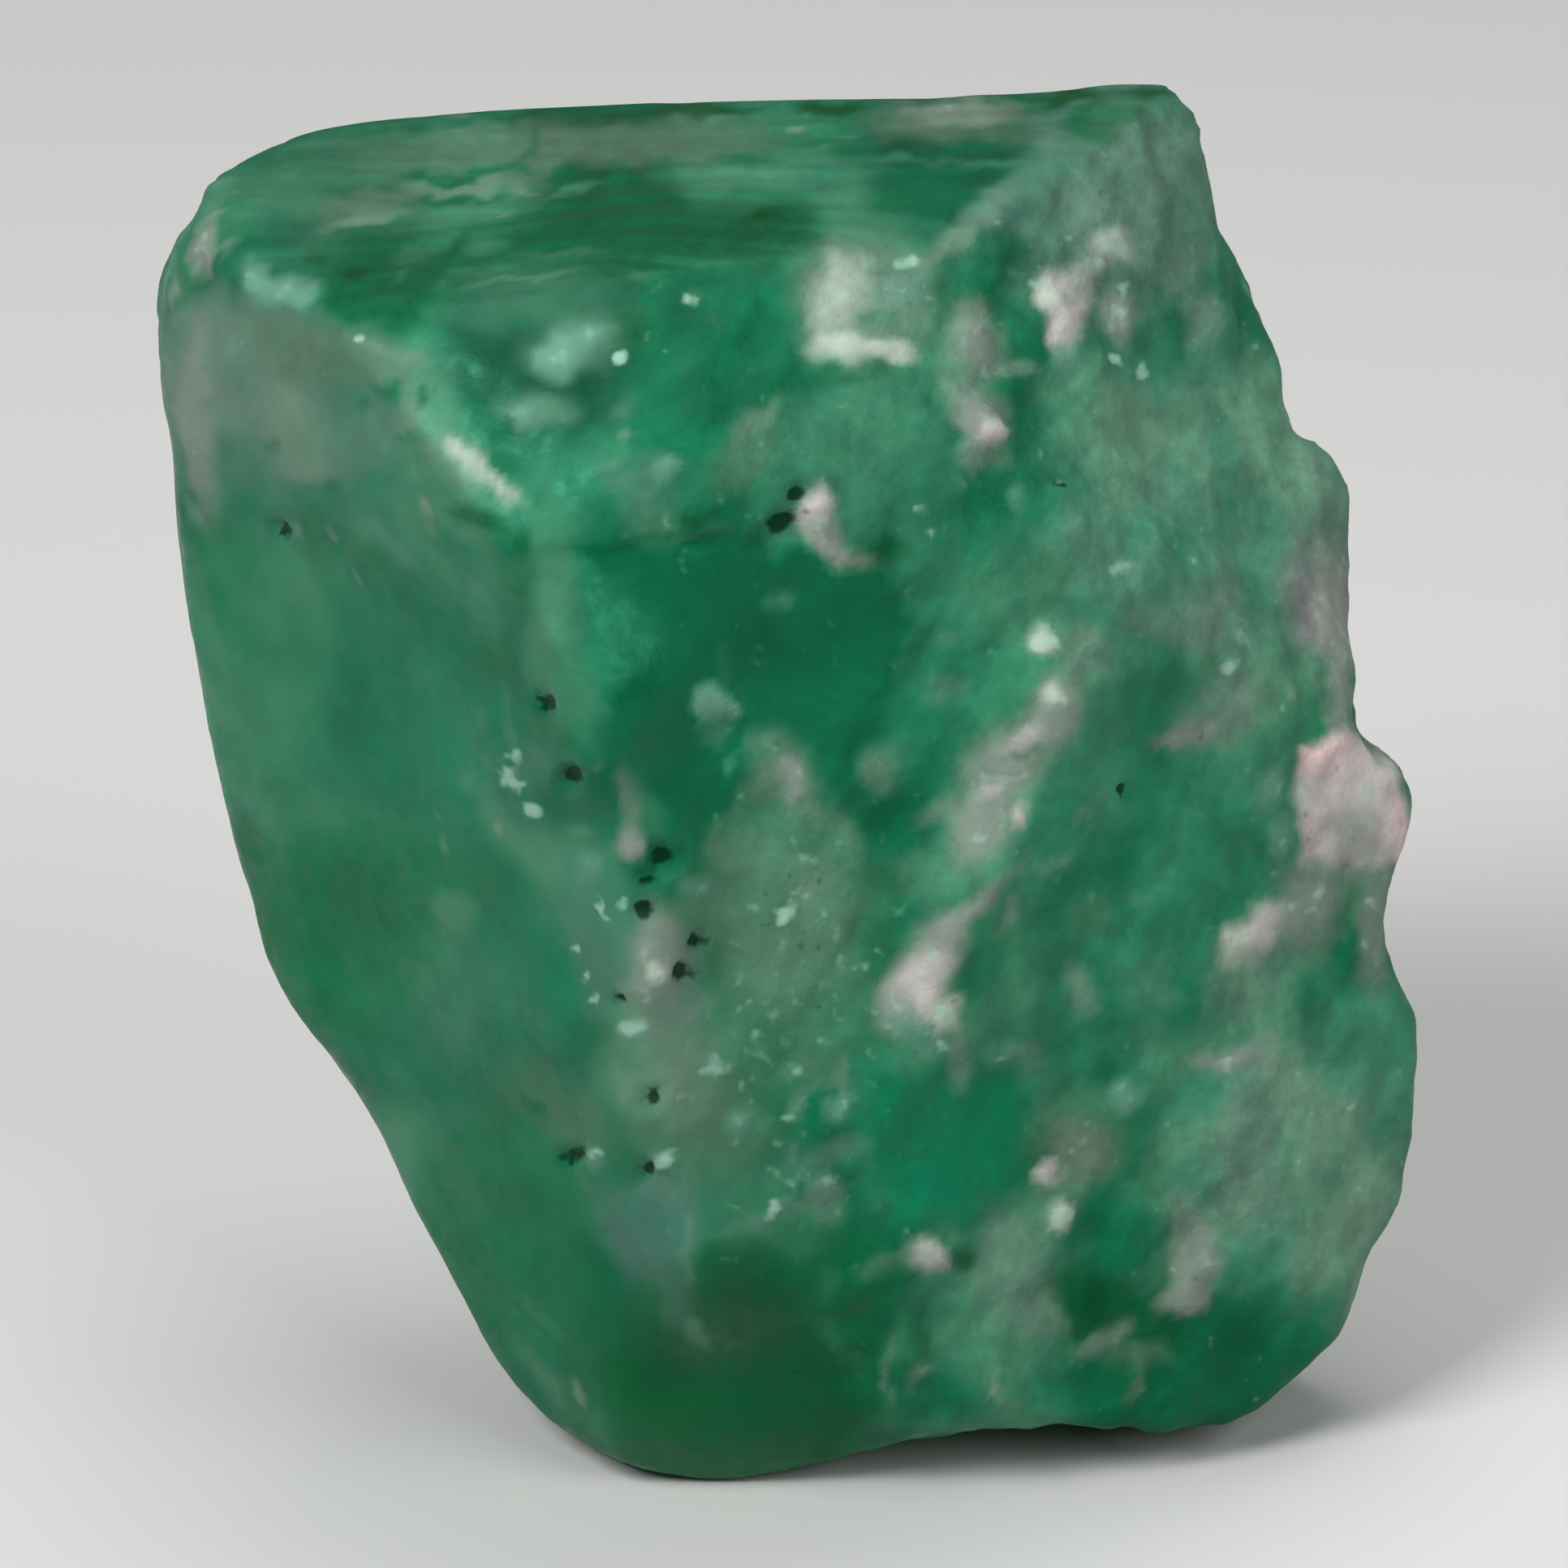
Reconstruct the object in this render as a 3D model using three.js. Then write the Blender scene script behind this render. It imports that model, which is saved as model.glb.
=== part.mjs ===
// A rough emerald: one worn piece of a six-sided green crystal, standing on a small flat spot.
// Millimetres, +Z up, the front of the stone towards -Y, the origin in the middle of its footprint.
//
// The crystal's long axis lies along X. Its top and the two upper back faces are prism faces with growth
// lines along X. The left face is its smooth end, the front and the right are broken, and wear has
// rounded the rest. The shape is one field of distances to those faces, with the relief of each face
// added, and each vertex of a fine sphere is moved out along its ray to where the field is nought.
import * as THREE from "three";
import { ImprovedNoise } from "three/addons/math/ImprovedNoise.js";
import { mergeVertices } from "three/addons/utils/BufferGeometryUtils.js";

// Driving dimensions
const HEIGHT = 20; // floor to the upper right corner, without the growth lines
const HALF_HEIGHT = HEIGHT / 2;
const FRONT_DEPTH = 10; // how far the unbroken stone would reach in front of its rim
const BACK_DEPTH = 6.8; // and behind it
const FULLNESS = 2.6; // 2 is an ellipsoid, and more is boxier
const RIM_FADE = 2.5; // how far either side of the rim the relief has faded
const EDGE_SHARPNESS = 7; // per mm: the higher, the less the edges between faces are worn
const LEAN = THREE.MathUtils.degToRad(20); // the rim's outline is drawn on a plane that leans back by this
const FOOTPRINT_MIDDLE = [0, 0.71]; // of the whole stone, seen from the middle of its rim
const DETAIL = 21; // each edge of the icosahedron is cut into one more than this

// The rim is the stone's widest line. These are its points on the leaning plane, from the middle of the
// stone: X to the right and V upwards. They run anticlockwise from the upper right corner.
const RIM = [
  [6.1, 11.68],
  [2.2, 11.66],
  [-1.6, 11.58],
  [-5.0, 11.38],
  [-7.4, 10.98],
  [-8.75, 10.2],
  [-9.6, 9.2],
  [-9.88, 8.05],
  [-9.55, 6.3],
  [-9.38, 4.0],
  [-9.05, 1.6],
  [-8.6, -0.75],
  [-8.0, -2.6],
  [-7.2, -3.75],
  [-6.45, -4.9],
  [-5.55, -6.7],
  [-4.55, -8.5],
  [-3.4, -9.55],
  [-1.2, -10.3],
  [0.4, -10.0],
  [2.3, -9.45],
  [4.4, -9.3],
  [7.1, -9.3],
  [8.6, -7.85],
  [9.55, -6.0],
  [9.92, -4.0],
  [9.7, -2.6],
  [9.38, -1.35],
  [9.6, 0.45],
  [8.95, 1.5],
  [8.82, 3.0],
  [8.85, 4.6],
  [8.6, 5.75],
  [8.0, 6.35],
  [7.55, 7.95],
  [6.85, 9.4],
];

// The faces that cut the stone, each with its outward normal and a point on it, from the stone's middle.
const FACES = [
  { name: "top prism face", normal: [-0.022, -0.02, 1], point: [6.1, 6.5, 10] },
  { name: "upper back prism face", normal: [0, 0.87, 0.5], point: [0, 7.1, 9.8] },
  { name: "lower back prism face", normal: [0.05, 0.95, -0.24], point: [0, 7.0, 2.0] },
  { name: "left end face", normal: [-0.77, -0.64, -0.19], point: [-2.67, -7, 3.45] },
  { name: "front break", normal: [0.37, -0.9, -0.08], point: [-2.67, -7, 3.45] },
  { name: "upper front break", normal: [0.4, -0.9, 0.065], point: [-2.67, -7, 3.45] },
  { name: "front shoulder", normal: [0.25, -0.55, 0.79], point: [-1, -2.2, 9.75] },
  { name: "right shoulder", normal: [0.785, -0.376, 0.493], point: [6.25, 6.5, 10] },
  { name: "between the shoulders", normal: [0.54, -0.48, 0.69], point: [2.7, -1.7, 8.9] },
  { name: "right front break", normal: [0.66, -0.7, 0.12], point: [5, -2.9, 4.1] },
  { name: "under the front", normal: [0.02, -0.857, -0.514], point: [-1.1, -2.6, -10] },
  { name: "right back break", normal: [0.6, 0.78, -0.18], point: [6.65, 5.9, 3] },
  { name: "left back break", normal: [-0.55, 0.72, -0.42], point: [-6.5, 5.6, 1] },
].map(({ normal, point }) => {
  const n = new THREE.Vector3(...normal).normalize();
  return { n, reach: n.dot(new THREE.Vector3(...point)) };
});

// The leaning plane's axes: X is shared, V is up along the plane, and W goes into the stone.
const V_AXIS = new THREE.Vector3(0, Math.sin(LEAN), Math.cos(LEAN));
const W_AXIS = new THREE.Vector3(0, Math.cos(LEAN), -Math.sin(LEAN));

// The rim isn't flat: its depth behind the leaning plane grows upwards and to the right.
const rimDepth = (u, v) => 1.9 + 0.045 * v + 0.12 * u;

// The rim's radius about the middle, as a table by angle that a smooth curve through its points fills.
const ANGLES = 720;
const rimRadius = (() => {
  const points = RIM.map(([u, v]) => new THREE.Vector3(u, v, 0));
  const curve = new THREE.CatmullRomCurve3(points, true, "centripetal");
  const samples = curve
    .getPoints(8 * ANGLES)
    .map((p) => ({ angle: Math.atan2(p.y, p.x), radius: Math.hypot(p.x, p.y) }));
  const table = new Array(ANGLES).fill(0);
  for (const { angle, radius } of samples) {
    const slot = Math.floor(((angle / Math.PI + 1) / 2) * ANGLES) % ANGLES;
    table[slot] = Math.max(table[slot], radius);
  }
  return (angle) => {
    const place = ((angle / Math.PI + 1) / 2) * ANGLES - 0.5;
    const low = Math.floor(place);
    const share = place - low;
    const at = (i) => table[(i + ANGLES) % ANGLES];
    return at(low) * (1 - share) + at(low + 1) * share;
  };
})();

const noise = new ImprovedNoise();
const smooth = THREE.MathUtils.smoothstep;

// A soft-edged oval on the leaning plane: 1 at its middle and 0 well outside it.
function oval(u, v, [middleU, middleV], [halfAlong, halfAcross], turn = 0) {
  const angle = THREE.MathUtils.degToRad(turn);
  const along = (u - middleU) * Math.cos(angle) + (v - middleV) * Math.sin(angle);
  const across = (v - middleV) * Math.cos(angle) - (u - middleU) * Math.sin(angle);
  return Math.exp(-((along / halfAlong) ** 2 + (across / halfAcross) ** 2));
}

// Growth lines on the prism faces: low ledges along X, wandering a little.
function growthLines(p) {
  const level = p.y * 0.75 - p.z * 0.35 + 0.5 * noise.noise(p.x * 0.16, p.y * 0.3, 4.1);
  const ledge = level - Math.floor(level);
  return 0.16 * (smooth(ledge, 0, 0.3) - ledge);
}

// The broken front: lumps, and slanting ribs where the break ran up to the right.
function frontBreak(u, v, w) {
  const turn = THREE.MathUtils.degToRad(62);
  const along = u * Math.cos(turn) + v * Math.sin(turn);
  const across = v * Math.cos(turn) - u * Math.sin(turn);
  const ribs = noise.noise(across * 0.5, along * 0.16, w * 0.2 + 7.7);
  const lumps = noise.noise(u * 0.6, v * 0.6, w * 0.6 + 2.3);
  return 0.3 * ribs + 0.25 * lumps;
}

// The forms that a person would point to, each a gentle rise or hollow on the front.
function frontForms(u, v) {
  const window = 0.4 * oval(u, v, [-0.9, 3.2], [2.2, 1.3]) + 0.25 * oval(u, v, [-1.3, 1.0], [0.9, 1.7]);
  const lip = 0.3 * oval(u, v, [-1.6, 5.0], [2.2, 0.8], 3);
  const upperCrest = 0.2 * oval(u, v, [-3.7, 4.0], [0.7, 2.8], 20);
  const lowerCrest = 0.25 * oval(u, v, [-2.0, -1.5], [0.9, 3.2], -4);
  const upperRib = 0.4 * oval(u, v, [3.7, 1.0], [2.6, 0.8], 66);
  const lowerRib = 0.4 * oval(u, v, [2.6, -2.4], [2.0, 0.75], 58);
  const hollows = 0.4 * oval(u, v, [4.8, -7.3], [0.9, 0.7]) + 0.4 * oval(u, v, [3.1, -4.6], [1.7, 1.3], 30);
  const notch = 0.35 * oval(u, v, [-4.4, 5.7], [1.7, 0.5], -42);
  const tongue = 0.25 * oval(u, v, [-1.2, -6.6], [0.8, 1.9], 8);
  return lip + upperCrest + lowerCrest + upperRib + lowerRib + tongue - window - hollows - notch;
}

// Low swells where wear has left the smooth left end and the hidden back uneven.
const swell = (p, size, depth) => depth * noise.noise(p.x / size, p.y / size + 3.4, p.z / size + 8.8);

// How far the surface stands proud of the plain faces at p, a point from the stone's middle. The relief
// fades near the rim, which keeps the outline.
function relief(p, u, v, w) {
  const front = 1 - smooth(w, -4, 2);
  const broken = front * smooth(p.x * 0.55 - p.y * 0.2 + 1.2, -1, 1.2) * (1 - smooth(p.z, 7.5, 9.2));
  const prism = smooth(p.z + 0.7 * p.y, 8.6, 9.8);
  const back = smooth(w, 0, 4) * (1 - prism);
  const behind = (w - rimDepth(u, v)) / RIM_FADE;
  const level = Math.exp(-behind * behind);
  const atRim = level * smooth(Math.hypot(u, v) / rimRadius(Math.atan2(v, u)), 0.85, 0.97);
  const nodule = level * 0.6 * oval(u, v, [9.2, 0.45], [0.9, 0.8]);
  const forms =
    broken * frontBreak(u, v, w) +
    front * frontForms(u, v) +
    prism * growthLines(p) +
    back * swell(p, 2.2, 0.5) +
    swell(p, 5.5, 0.35);
  return (1 - atRim) * forms + nodule;
}

// How far p is outside the rounded stone that the rim bounds.
function outsideRim(p) {
  const v = p.dot(V_AXIS);
  const outward = Math.hypot(p.x, v) / rimRadius(Math.atan2(v, p.x));
  const behind = p.dot(W_AXIS) - rimDepth(p.x, v);
  const depth = Math.abs(behind) / (behind < 0 ? FRONT_DEPTH : BACK_DEPTH);
  const size = (outward ** FULLNESS + depth ** FULLNESS) ** (1 / FULLNESS);
  return p.length() * (1 - 1 / size);
}

// Everything that bounds the stone, each as how far outside it a point is.
const BOUNDS = [outsideRim, ...FACES.map(({ n, reach }) => (p) => n.dot(p) - reach)];

// The field: below nought inside the stone, above it outside.
function field(p) {
  const distances = BOUNDS.map((outside) => outside(p));
  const furthest = Math.max(...distances);
  const sum = distances.reduce((total, d) => total + Math.exp(EDGE_SHARPNESS * (d - furthest)), 0);
  return furthest + Math.log(sum) / EDGE_SHARPNESS - relief(p, p.x, p.dot(V_AXIS), p.dot(W_AXIS));
}

// Rays start a little forward of the middle, so that the front has the finer facets.
const RAY_START = new THREE.Vector3(-0.3, -1.2, 0);
const NEAREST = 2;
const FURTHEST = 22;
const HALVINGS = 22;

// The point where the ray along a direction leaves the stone or meets the floor.
function surfaceAlong(direction) {
  const p = new THREE.Vector3();
  let near = NEAREST;
  let far = FURTHEST;
  for (let i = 0; i < HALVINGS; i += 1) {
    const middle = (near + far) / 2;
    p.copy(RAY_START).addScaledVector(direction, middle);
    if (field(p) < 0) near = middle;
    else far = middle;
  }
  const toFloor = direction.z < 0 ? HALF_HEIGHT / -direction.z : Infinity;
  return p.copy(RAY_START).addScaledVector(direction, Math.min(near, toFloor));
}

// Where a mesh edge crosses from one bound to another, its nearer end slides to the crossing, which
// keeps the edges between the stone's faces straight.
function crossings(points, triangles) {
  const owners = points.map((p) => {
    const distances = BOUNDS.map((outside) => outside(p));
    return distances.indexOf(Math.max(...distances));
  });
  const found = new Map();
  for (let i = 0; i < triangles.length; i += 1) {
    const a = triangles[i];
    const b = triangles[i % 3 === 2 ? i - 2 : i + 1];
    if (a > b || owners[a] === owners[b]) continue;
    const lead = (p) => BOUNDS[owners[a]](p) - BOUNDS[owners[b]](p);
    const share = lead(points[a]) / (lead(points[a]) - lead(points[b]));
    const nearer = share < 0.5 ? a : b;
    const crossing = points[a].clone().lerp(points[b], share);
    found.set(nearer, [...(found.get(nearer) ?? []), crossing]);
  }
  return found;
}

function stoneGeometry() {
  const ball = new THREE.IcosahedronGeometry(1, DETAIL);
  ball.deleteAttribute("normal");
  ball.deleteAttribute("uv");
  const stone = mergeVertices(ball, 1e-5);
  const place = stone.getAttribute("position");
  const points = Array.from({ length: place.count }, (_, i) =>
    surfaceAlong(new THREE.Vector3().fromBufferAttribute(place, i).normalize()),
  );
  for (const [i, found] of crossings(points, stone.index.array)) {
    const middle = found.reduce((sum, p) => sum.add(p), new THREE.Vector3()).divideScalar(found.length);
    points[i] = surfaceAlong(middle.sub(RAY_START).normalize());
  }
  points.forEach((p, i) => {
    place.setXYZ(i, p.x - FOOTPRINT_MIDDLE[0], p.y - FOOTPRINT_MIDDLE[1], p.z + HALF_HEIGHT);
  });
  stone.computeVertexNormals();
  return stone;
}

const emerald = new THREE.Mesh(
  stoneGeometry(),
  new THREE.MeshStandardMaterial({ color: 0x33715a, roughness: 0.35, metalness: 0 }),
);
emerald.name = "emerald";

const group = new THREE.Group();
group.add(emerald);

export default group;
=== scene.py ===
# The looks of a rough emerald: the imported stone's surface made finer, with its growth lines, chips,
# pits and flakes, and one see-through green material that clouds, frosts and pales where the stone does.
import math
from collections import namedtuple

import bmesh
import bpy
import numpy as np
from mathutils import Matrix, Vector, noise


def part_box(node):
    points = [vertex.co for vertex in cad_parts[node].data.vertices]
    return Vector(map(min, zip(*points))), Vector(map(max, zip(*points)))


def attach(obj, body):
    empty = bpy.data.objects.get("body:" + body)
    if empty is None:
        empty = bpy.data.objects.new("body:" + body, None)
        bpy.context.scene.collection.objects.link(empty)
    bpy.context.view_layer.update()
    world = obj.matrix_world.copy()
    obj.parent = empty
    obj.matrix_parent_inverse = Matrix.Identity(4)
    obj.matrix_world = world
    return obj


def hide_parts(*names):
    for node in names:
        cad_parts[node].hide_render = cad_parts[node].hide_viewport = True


MM = 0.001

# The photograph: a square, with the stone leaning back from the camera by LEAN.
PHOTO_PX = 1932
PX_PER_MM = 78.4
LEAN = math.radians(20)
LENS = 200  # mm
SENSOR = 36  # mm
CLIP = (0.005, 20)  # m
DISTANCE = PHOTO_PX / PX_PER_MM * LENS / SENSOR  # mm, from the camera to the point that it looks at

# The middle of the stone's rim, and the leaning plane's axes through it: U right, V up, W into the stone.
MIDDLE = np.array([0.0, -0.71, 10.0])
U_AXIS = np.array([1.0, 0.0, 0.0])
V_AXIS = np.array([0.0, math.sin(LEAN), math.cos(LEAN)])
W_AXIS = np.array([0.0, math.cos(LEAN), -math.sin(LEAN)])
AIM = np.array([-0.045, 0.663, 2.0])  # U, V and W of the point that the camera looks at

# The stone's fine mesh.
WELD = 1e-6  # m
VOXEL = 0.129  # mm
EVENING_STEPS = (0.5, -0.51)  # shares of the way to the neighbours' middle
EVENING_ROUNDS = 7


def at(px, py):
    """A place in the photograph, in millimetres to the right of its middle and above it."""
    return (px - PHOTO_PX / 2) / PX_PER_MM, (PHOTO_PX / 2 - py) / PX_PER_MM


def linear(red, green, blue):
    """A colour given as 0 to 255 on screen, as the linear light that shaders use."""
    shares = [c / 255 for c in (red, green, blue)]
    return np.array([s / 12.92 if s <= 0.04045 else ((s + 0.055) / 1.055) ** 2.4 for s in shares])


# Zones of the front, each with the place of its middle, its radius in mm, its colour on screen and how
# clear it is. Between the zones the colour and the clearness blend.
ZONES = {
    "frosted left corner": (at(300, 480), 1.3, (92, 130, 112), 0.15),
    "left end, outer part": (at(290, 820), 1.6, (50, 130, 94), 0.3),
    "left end, inner part": (at(500, 860), 1.5, (10, 116, 82), 0.3),
    "dark patch on the left end": (at(440, 1130), 1.3, (0, 114, 68), 0.3),
    "left end, low part": (at(610, 1260), 1.3, (14, 114, 80), 0.3),
    "foot of the left end": (at(640, 1520), 1.4, (0, 114, 72), 0.4),
    # painted shade: the foot darkens where it turns under, away from the light
    "painted shade under the foot": (at(900, 1700), 1.7, (0, 98, 48), 0.5),
    "top face, left": (at(420, 215), 1.2, (48, 104, 78), 0.3),
    "top face, middle": (at(740, 175), 1.0, (8, 70, 44), 0.25),
    "top face, right": (at(1180, 170), 1.2, (4, 80, 54), 0.3),
    "dark band of the top face": (at(760, 270), 0.8, (0, 88, 50), 0.7),
    "dark band, left end": (at(470, 340), 0.8, (2, 98, 58), 0.7),
    "shoulder, left": (at(660, 430), 1.2, (18, 72, 50), 0.4),
    "shoulder, middle": (at(920, 420), 1.0, (6, 88, 58), 0.5),
    "shoulder, low": (at(1060, 560), 1.1, (44, 108, 82), 0.4),
    "shoulder, far right": (at(1370, 240), 1.6, (84, 126, 106), 0.15),
    "upper window": (at(840, 740), 1.2, (0, 110, 74), 0.9),
    "lower window": (at(880, 950), 0.8, (0, 118, 80), 0.9),
    "right of the window": (at(1120, 800), 1.0, (40, 120, 88), 0.5),
    "right upper part": (at(1480, 620), 2.0, (88, 142, 116), 0.25),
    "right middle part": (at(1400, 1040), 1.4, (48, 130, 98), 0.45),
    # painted reflection: a pale pinkish rim reflection of the light along the right edge
    "painted rim reflection, right edge": (at(1640, 720), 0.9, (118, 128, 126), 0.15),
    "middle of the front": (at(970, 1180), 1.3, (74, 128, 98), 0.3),
    "low dark hollow": (at(1180, 1400), 0.9, (0, 106, 70), 0.75),
    "low right part": (at(1580, 1440), 1.5, (102, 150, 124), 0.2),
    "low right edge": (at(1680, 1300), 0.8, (74, 142, 114), 0.35),
    # painted shade: these two darken the foot where it turns under, away from the light
    "painted shade, foot right of the middle": (at(1010, 1590), 0.9, (0, 104, 60), 0.7),
    "painted shade, foot far right": (at(1450, 1690), 1.2, (6, 92, 58), 0.45),
    "ridge, pale part": (at(850, 1290), 0.9, (104, 150, 118), 0.25),
    "ridge, upper part": (at(680, 740), 0.7, (50, 110, 82), 0.3),
    "ridge, grey foot": (at(800, 1520), 0.7, (74, 124, 110), 0.3),
}

# Facets and hollows with an edge that shows: their corners in the photograph's pixels, how soft the edge
# is in mm, the colour on screen and how clear they are.
FACETS = {
    "window": (
        [(706, 676), (900, 660), (1075, 690), (1120, 770), (1060, 930), (862, 1050), (760, 900)],
        0.12, (0, 108, 72), 0.75,
    ),
    "frosty corner": (
        [(208, 388), (330, 392), (505, 442), (520, 520), (440, 592), (330, 590), (232, 560)],
        0.12, (96, 134, 114), 0.2,
    ),
    "right shoulder": (
        [(1442, 116), (1500, 240), (1420, 330), (1300, 300), (1170, 282), (1189, 253), (1332, 175)],
        0.1, (78, 124, 106), 0.2,
    ),
    "dark band of the top face": (
        [(290, 352), (600, 240), (1010, 252), (1000, 318), (560, 345), (480, 420)],
        0.35, (0, 92, 54), 0.6,
    ),
    "dark step of the shoulder": (
        [(868, 330), (985, 322), (985, 470), (880, 484)],
        0.35, (6, 100, 66), 0.55,
    ),
    "nodule": (
        [(1600, 925), (1650, 898), (1710, 945), (1738, 1000), (1722, 1064), (1608, 1066), (1596, 990)],
        0.13, (206, 196, 194), 0.0,
    ),
    "pale delta under the window": (
        [(946, 922), (1000, 968), (1056, 1020), (1050, 1085), (905, 1085), (868, 1040)],
        0.15, (78, 132, 104), 0.3,
    ),
    "low hollow": (
        [(1070, 1312), (1262, 1330), (1228, 1480), (1120, 1508), (1052, 1420)],
        0.4, (0, 134, 94), 0.7,
    ),
    "lower right hollow": (
        [(1285, 1588), (1385, 1572), (1410, 1640), (1310, 1662)],
        0.25, (0, 76, 36), 0.5,
    ),
    "upper right corner's hollow": (
        [(1318, 148), (1420, 128), (1382, 166), (1330, 182)],
        0.12, (0, 92, 52), 0.5,
    ),
}

# Colours on screen of the marks.
WHITE = (190, 202, 188)
ROSY = (205, 198, 194)
PINK = (140, 150, 140)
GREY = (112, 142, 124)
BROWN = (92, 122, 100)
SLATE = (72, 126, 106)
MINT = (106, 158, 136)
PALE = (94, 142, 118)
GREEN = (66, 128, 98)
DEEP = (0, 98, 62)
DARK = (0, 80, 42)
OLIVE = (0, 62, 16)

# Soft marks in and under the surface, and some painted shade, painted highlights and painted rim
# reflections, by the part of the stone that they are on. Each row is the place in the photograph's pixels,
# half length and half width in mm, turn in degrees, strength in percent, tint.
# Later marks lie over earlier ones.
TOP_FACE_MARKS = dict(
    # painted shade: the dark green rim and its darker strip along the top face's far edge, where it turns
    # away from the light
    painted_rim_shade_green_left=(330, 200, 0.9, 0.2, 42, 50, DEEP),
    painted_rim_shade_green_middle=(620, 140, 2.8, 0.13, 6, 60, DEEP),
    painted_rim_shade_green_right=(1200, 130, 3.2, 0.1, 2, 60, DEEP),
    painted_rim_shade_1=(870, 138, 0.72, 0.1, 2, 85, OLIVE),
    painted_rim_shade_2=(1020, 134, 0.42, 0.08, 2, 80, OLIVE),
    painted_rim_shade_3=(1322, 122, 0.5, 0.08, 2, 80, OLIVE),
    painted_rim_shade_corner=(1408, 120, 0.3, 0.08, 2, 80, OLIVE),
    painted_rim_shade_left=(640, 146, 0.4, 0.07, 5, 50, OLIVE),
    left_blob=(345, 230, 0.85, 0.34, 6, 50, GREEN),
    long_pale_band=(640, 182, 2.0, 0.27, 4, 75, BROWN),
    pale_band_right=(860, 178, 1.2, 0.3, 2, 70, BROWN),
    pale_wisp_right=(1170, 148, 1.1, 0.26, 0, 80, BROWN),
    pale_wisp_core=(1180, 140, 0.7, 0.13, 0, 50, PINK),
    band_along_left_blob=(455, 252, 0.85, 0.18, 8, 70, BROWN),
    its_lower_wisp=(440, 275, 0.5, 0.09, 12, 70, GREY),
    bright_streak=(585, 232, 0.8, 0.1, 4, 85, GREY),
    bright_streak_rise=(665, 212, 0.5, 0.09, 24, 60, BROWN),
    gap_over_bright_streak=(590, 216, 0.8, 0.05, 6, 70, DEEP),
    gap_under_bright_streak=(560, 250, 0.75, 0.05, 3, 75, DEEP),
    lower_streak=(575, 266, 0.6, 0.06, 6, 70, GREEN),
    gap_left_streaks=(518, 223, 0.3, 0.07, 10, 70, DEEP),
    crack=(655, 182, 0.32, 0.06, 62, 60, DEEP),
    notch=(760, 218, 0.18, 0.22, 0, 80, DEEP),
    notch_2=(822, 218, 0.12, 0.2, 0, 80, DEEP),
    notched_patch=(686, 222, 0.36, 0.1, 8, 60, DEEP),
    wisp_between_notches=(700, 236, 0.4, 0.05, 14, 70, GREEN),
    pale_patch_middle=(860, 215, 0.5, 0.24, 0, 50, GREEN),
    dark_streak=(915, 197, 0.4, 0.12, 0, 75, DEEP),
    dark_streak_right=(1040, 180, 0.55, 0.08, 0, 60, DEEP),
    dark_streak_far_right=(1196, 183, 0.3, 0.06, 0, 65, DEEP),
    pale_streak_right=(1000, 205, 1.1, 0.08, 2, 45, GREEN),
    pale_streak_far_right=(1180, 200, 1.2, 0.07, -2, 45, GREEN),
    deep_patch_by_edge=(1128, 238, 0.72, 0.3, 8, 85, DEEP),
    wisp_by_deep_patch=(1030, 250, 0.4, 0.1, 4, 50, GREEN),
    corner_hollow=(1348, 152, 0.46, 0.22, 12, 95, DEEP),
    dark_blotch_in_band=(822, 284, 0.3, 0.2, 30, 55, DARK),
    dark_blotch_2=(718, 280, 0.6, 0.16, 10, 50, DARK),
    dark_curve=(930, 272, 0.42, 0.1, 18, 85, OLIVE),
    dark_curve_foot=(925, 296, 0.45, 0.14, 30, 60, DARK),
    slanted_dark_streak=(562, 306, 0.26, 0.1, 55, 70, DARK),
    dark_spot=(442, 340, 0.14, 0.1, 0, 70, OLIVE),
    dark_spot_2=(388, 318, 0.14, 0.1, 0, 60, DARK),
    wedge_in_dark_part=(512, 312, 0.36, 0.09, 10, 60, GREEN),
    wedge_2=(598, 308, 0.26, 0.09, 8, 70, GREEN),
    small_wedge=(497, 338, 0.2, 0.06, 45, 55, GREEN),
    row_wisps=(698, 313, 0.6, 0.06, 3, 55, GREEN),
    line_front_edge=(600, 336, 0.7, 0.05, 8, 50, GREEN),
    corner_flake=(322, 350, 0.34, 0.12, -38, 100, MINT),
    corner_flake_right=(352, 362, 0.42, 0.13, 12, 100, MINT),
    # painted reflection: a pinkish rim reflection of the light on the left corner's edge
    painted_reflection_left_corner=(242, 293, 0.4, 0.16, 62, 85, PINK),
)

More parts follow.
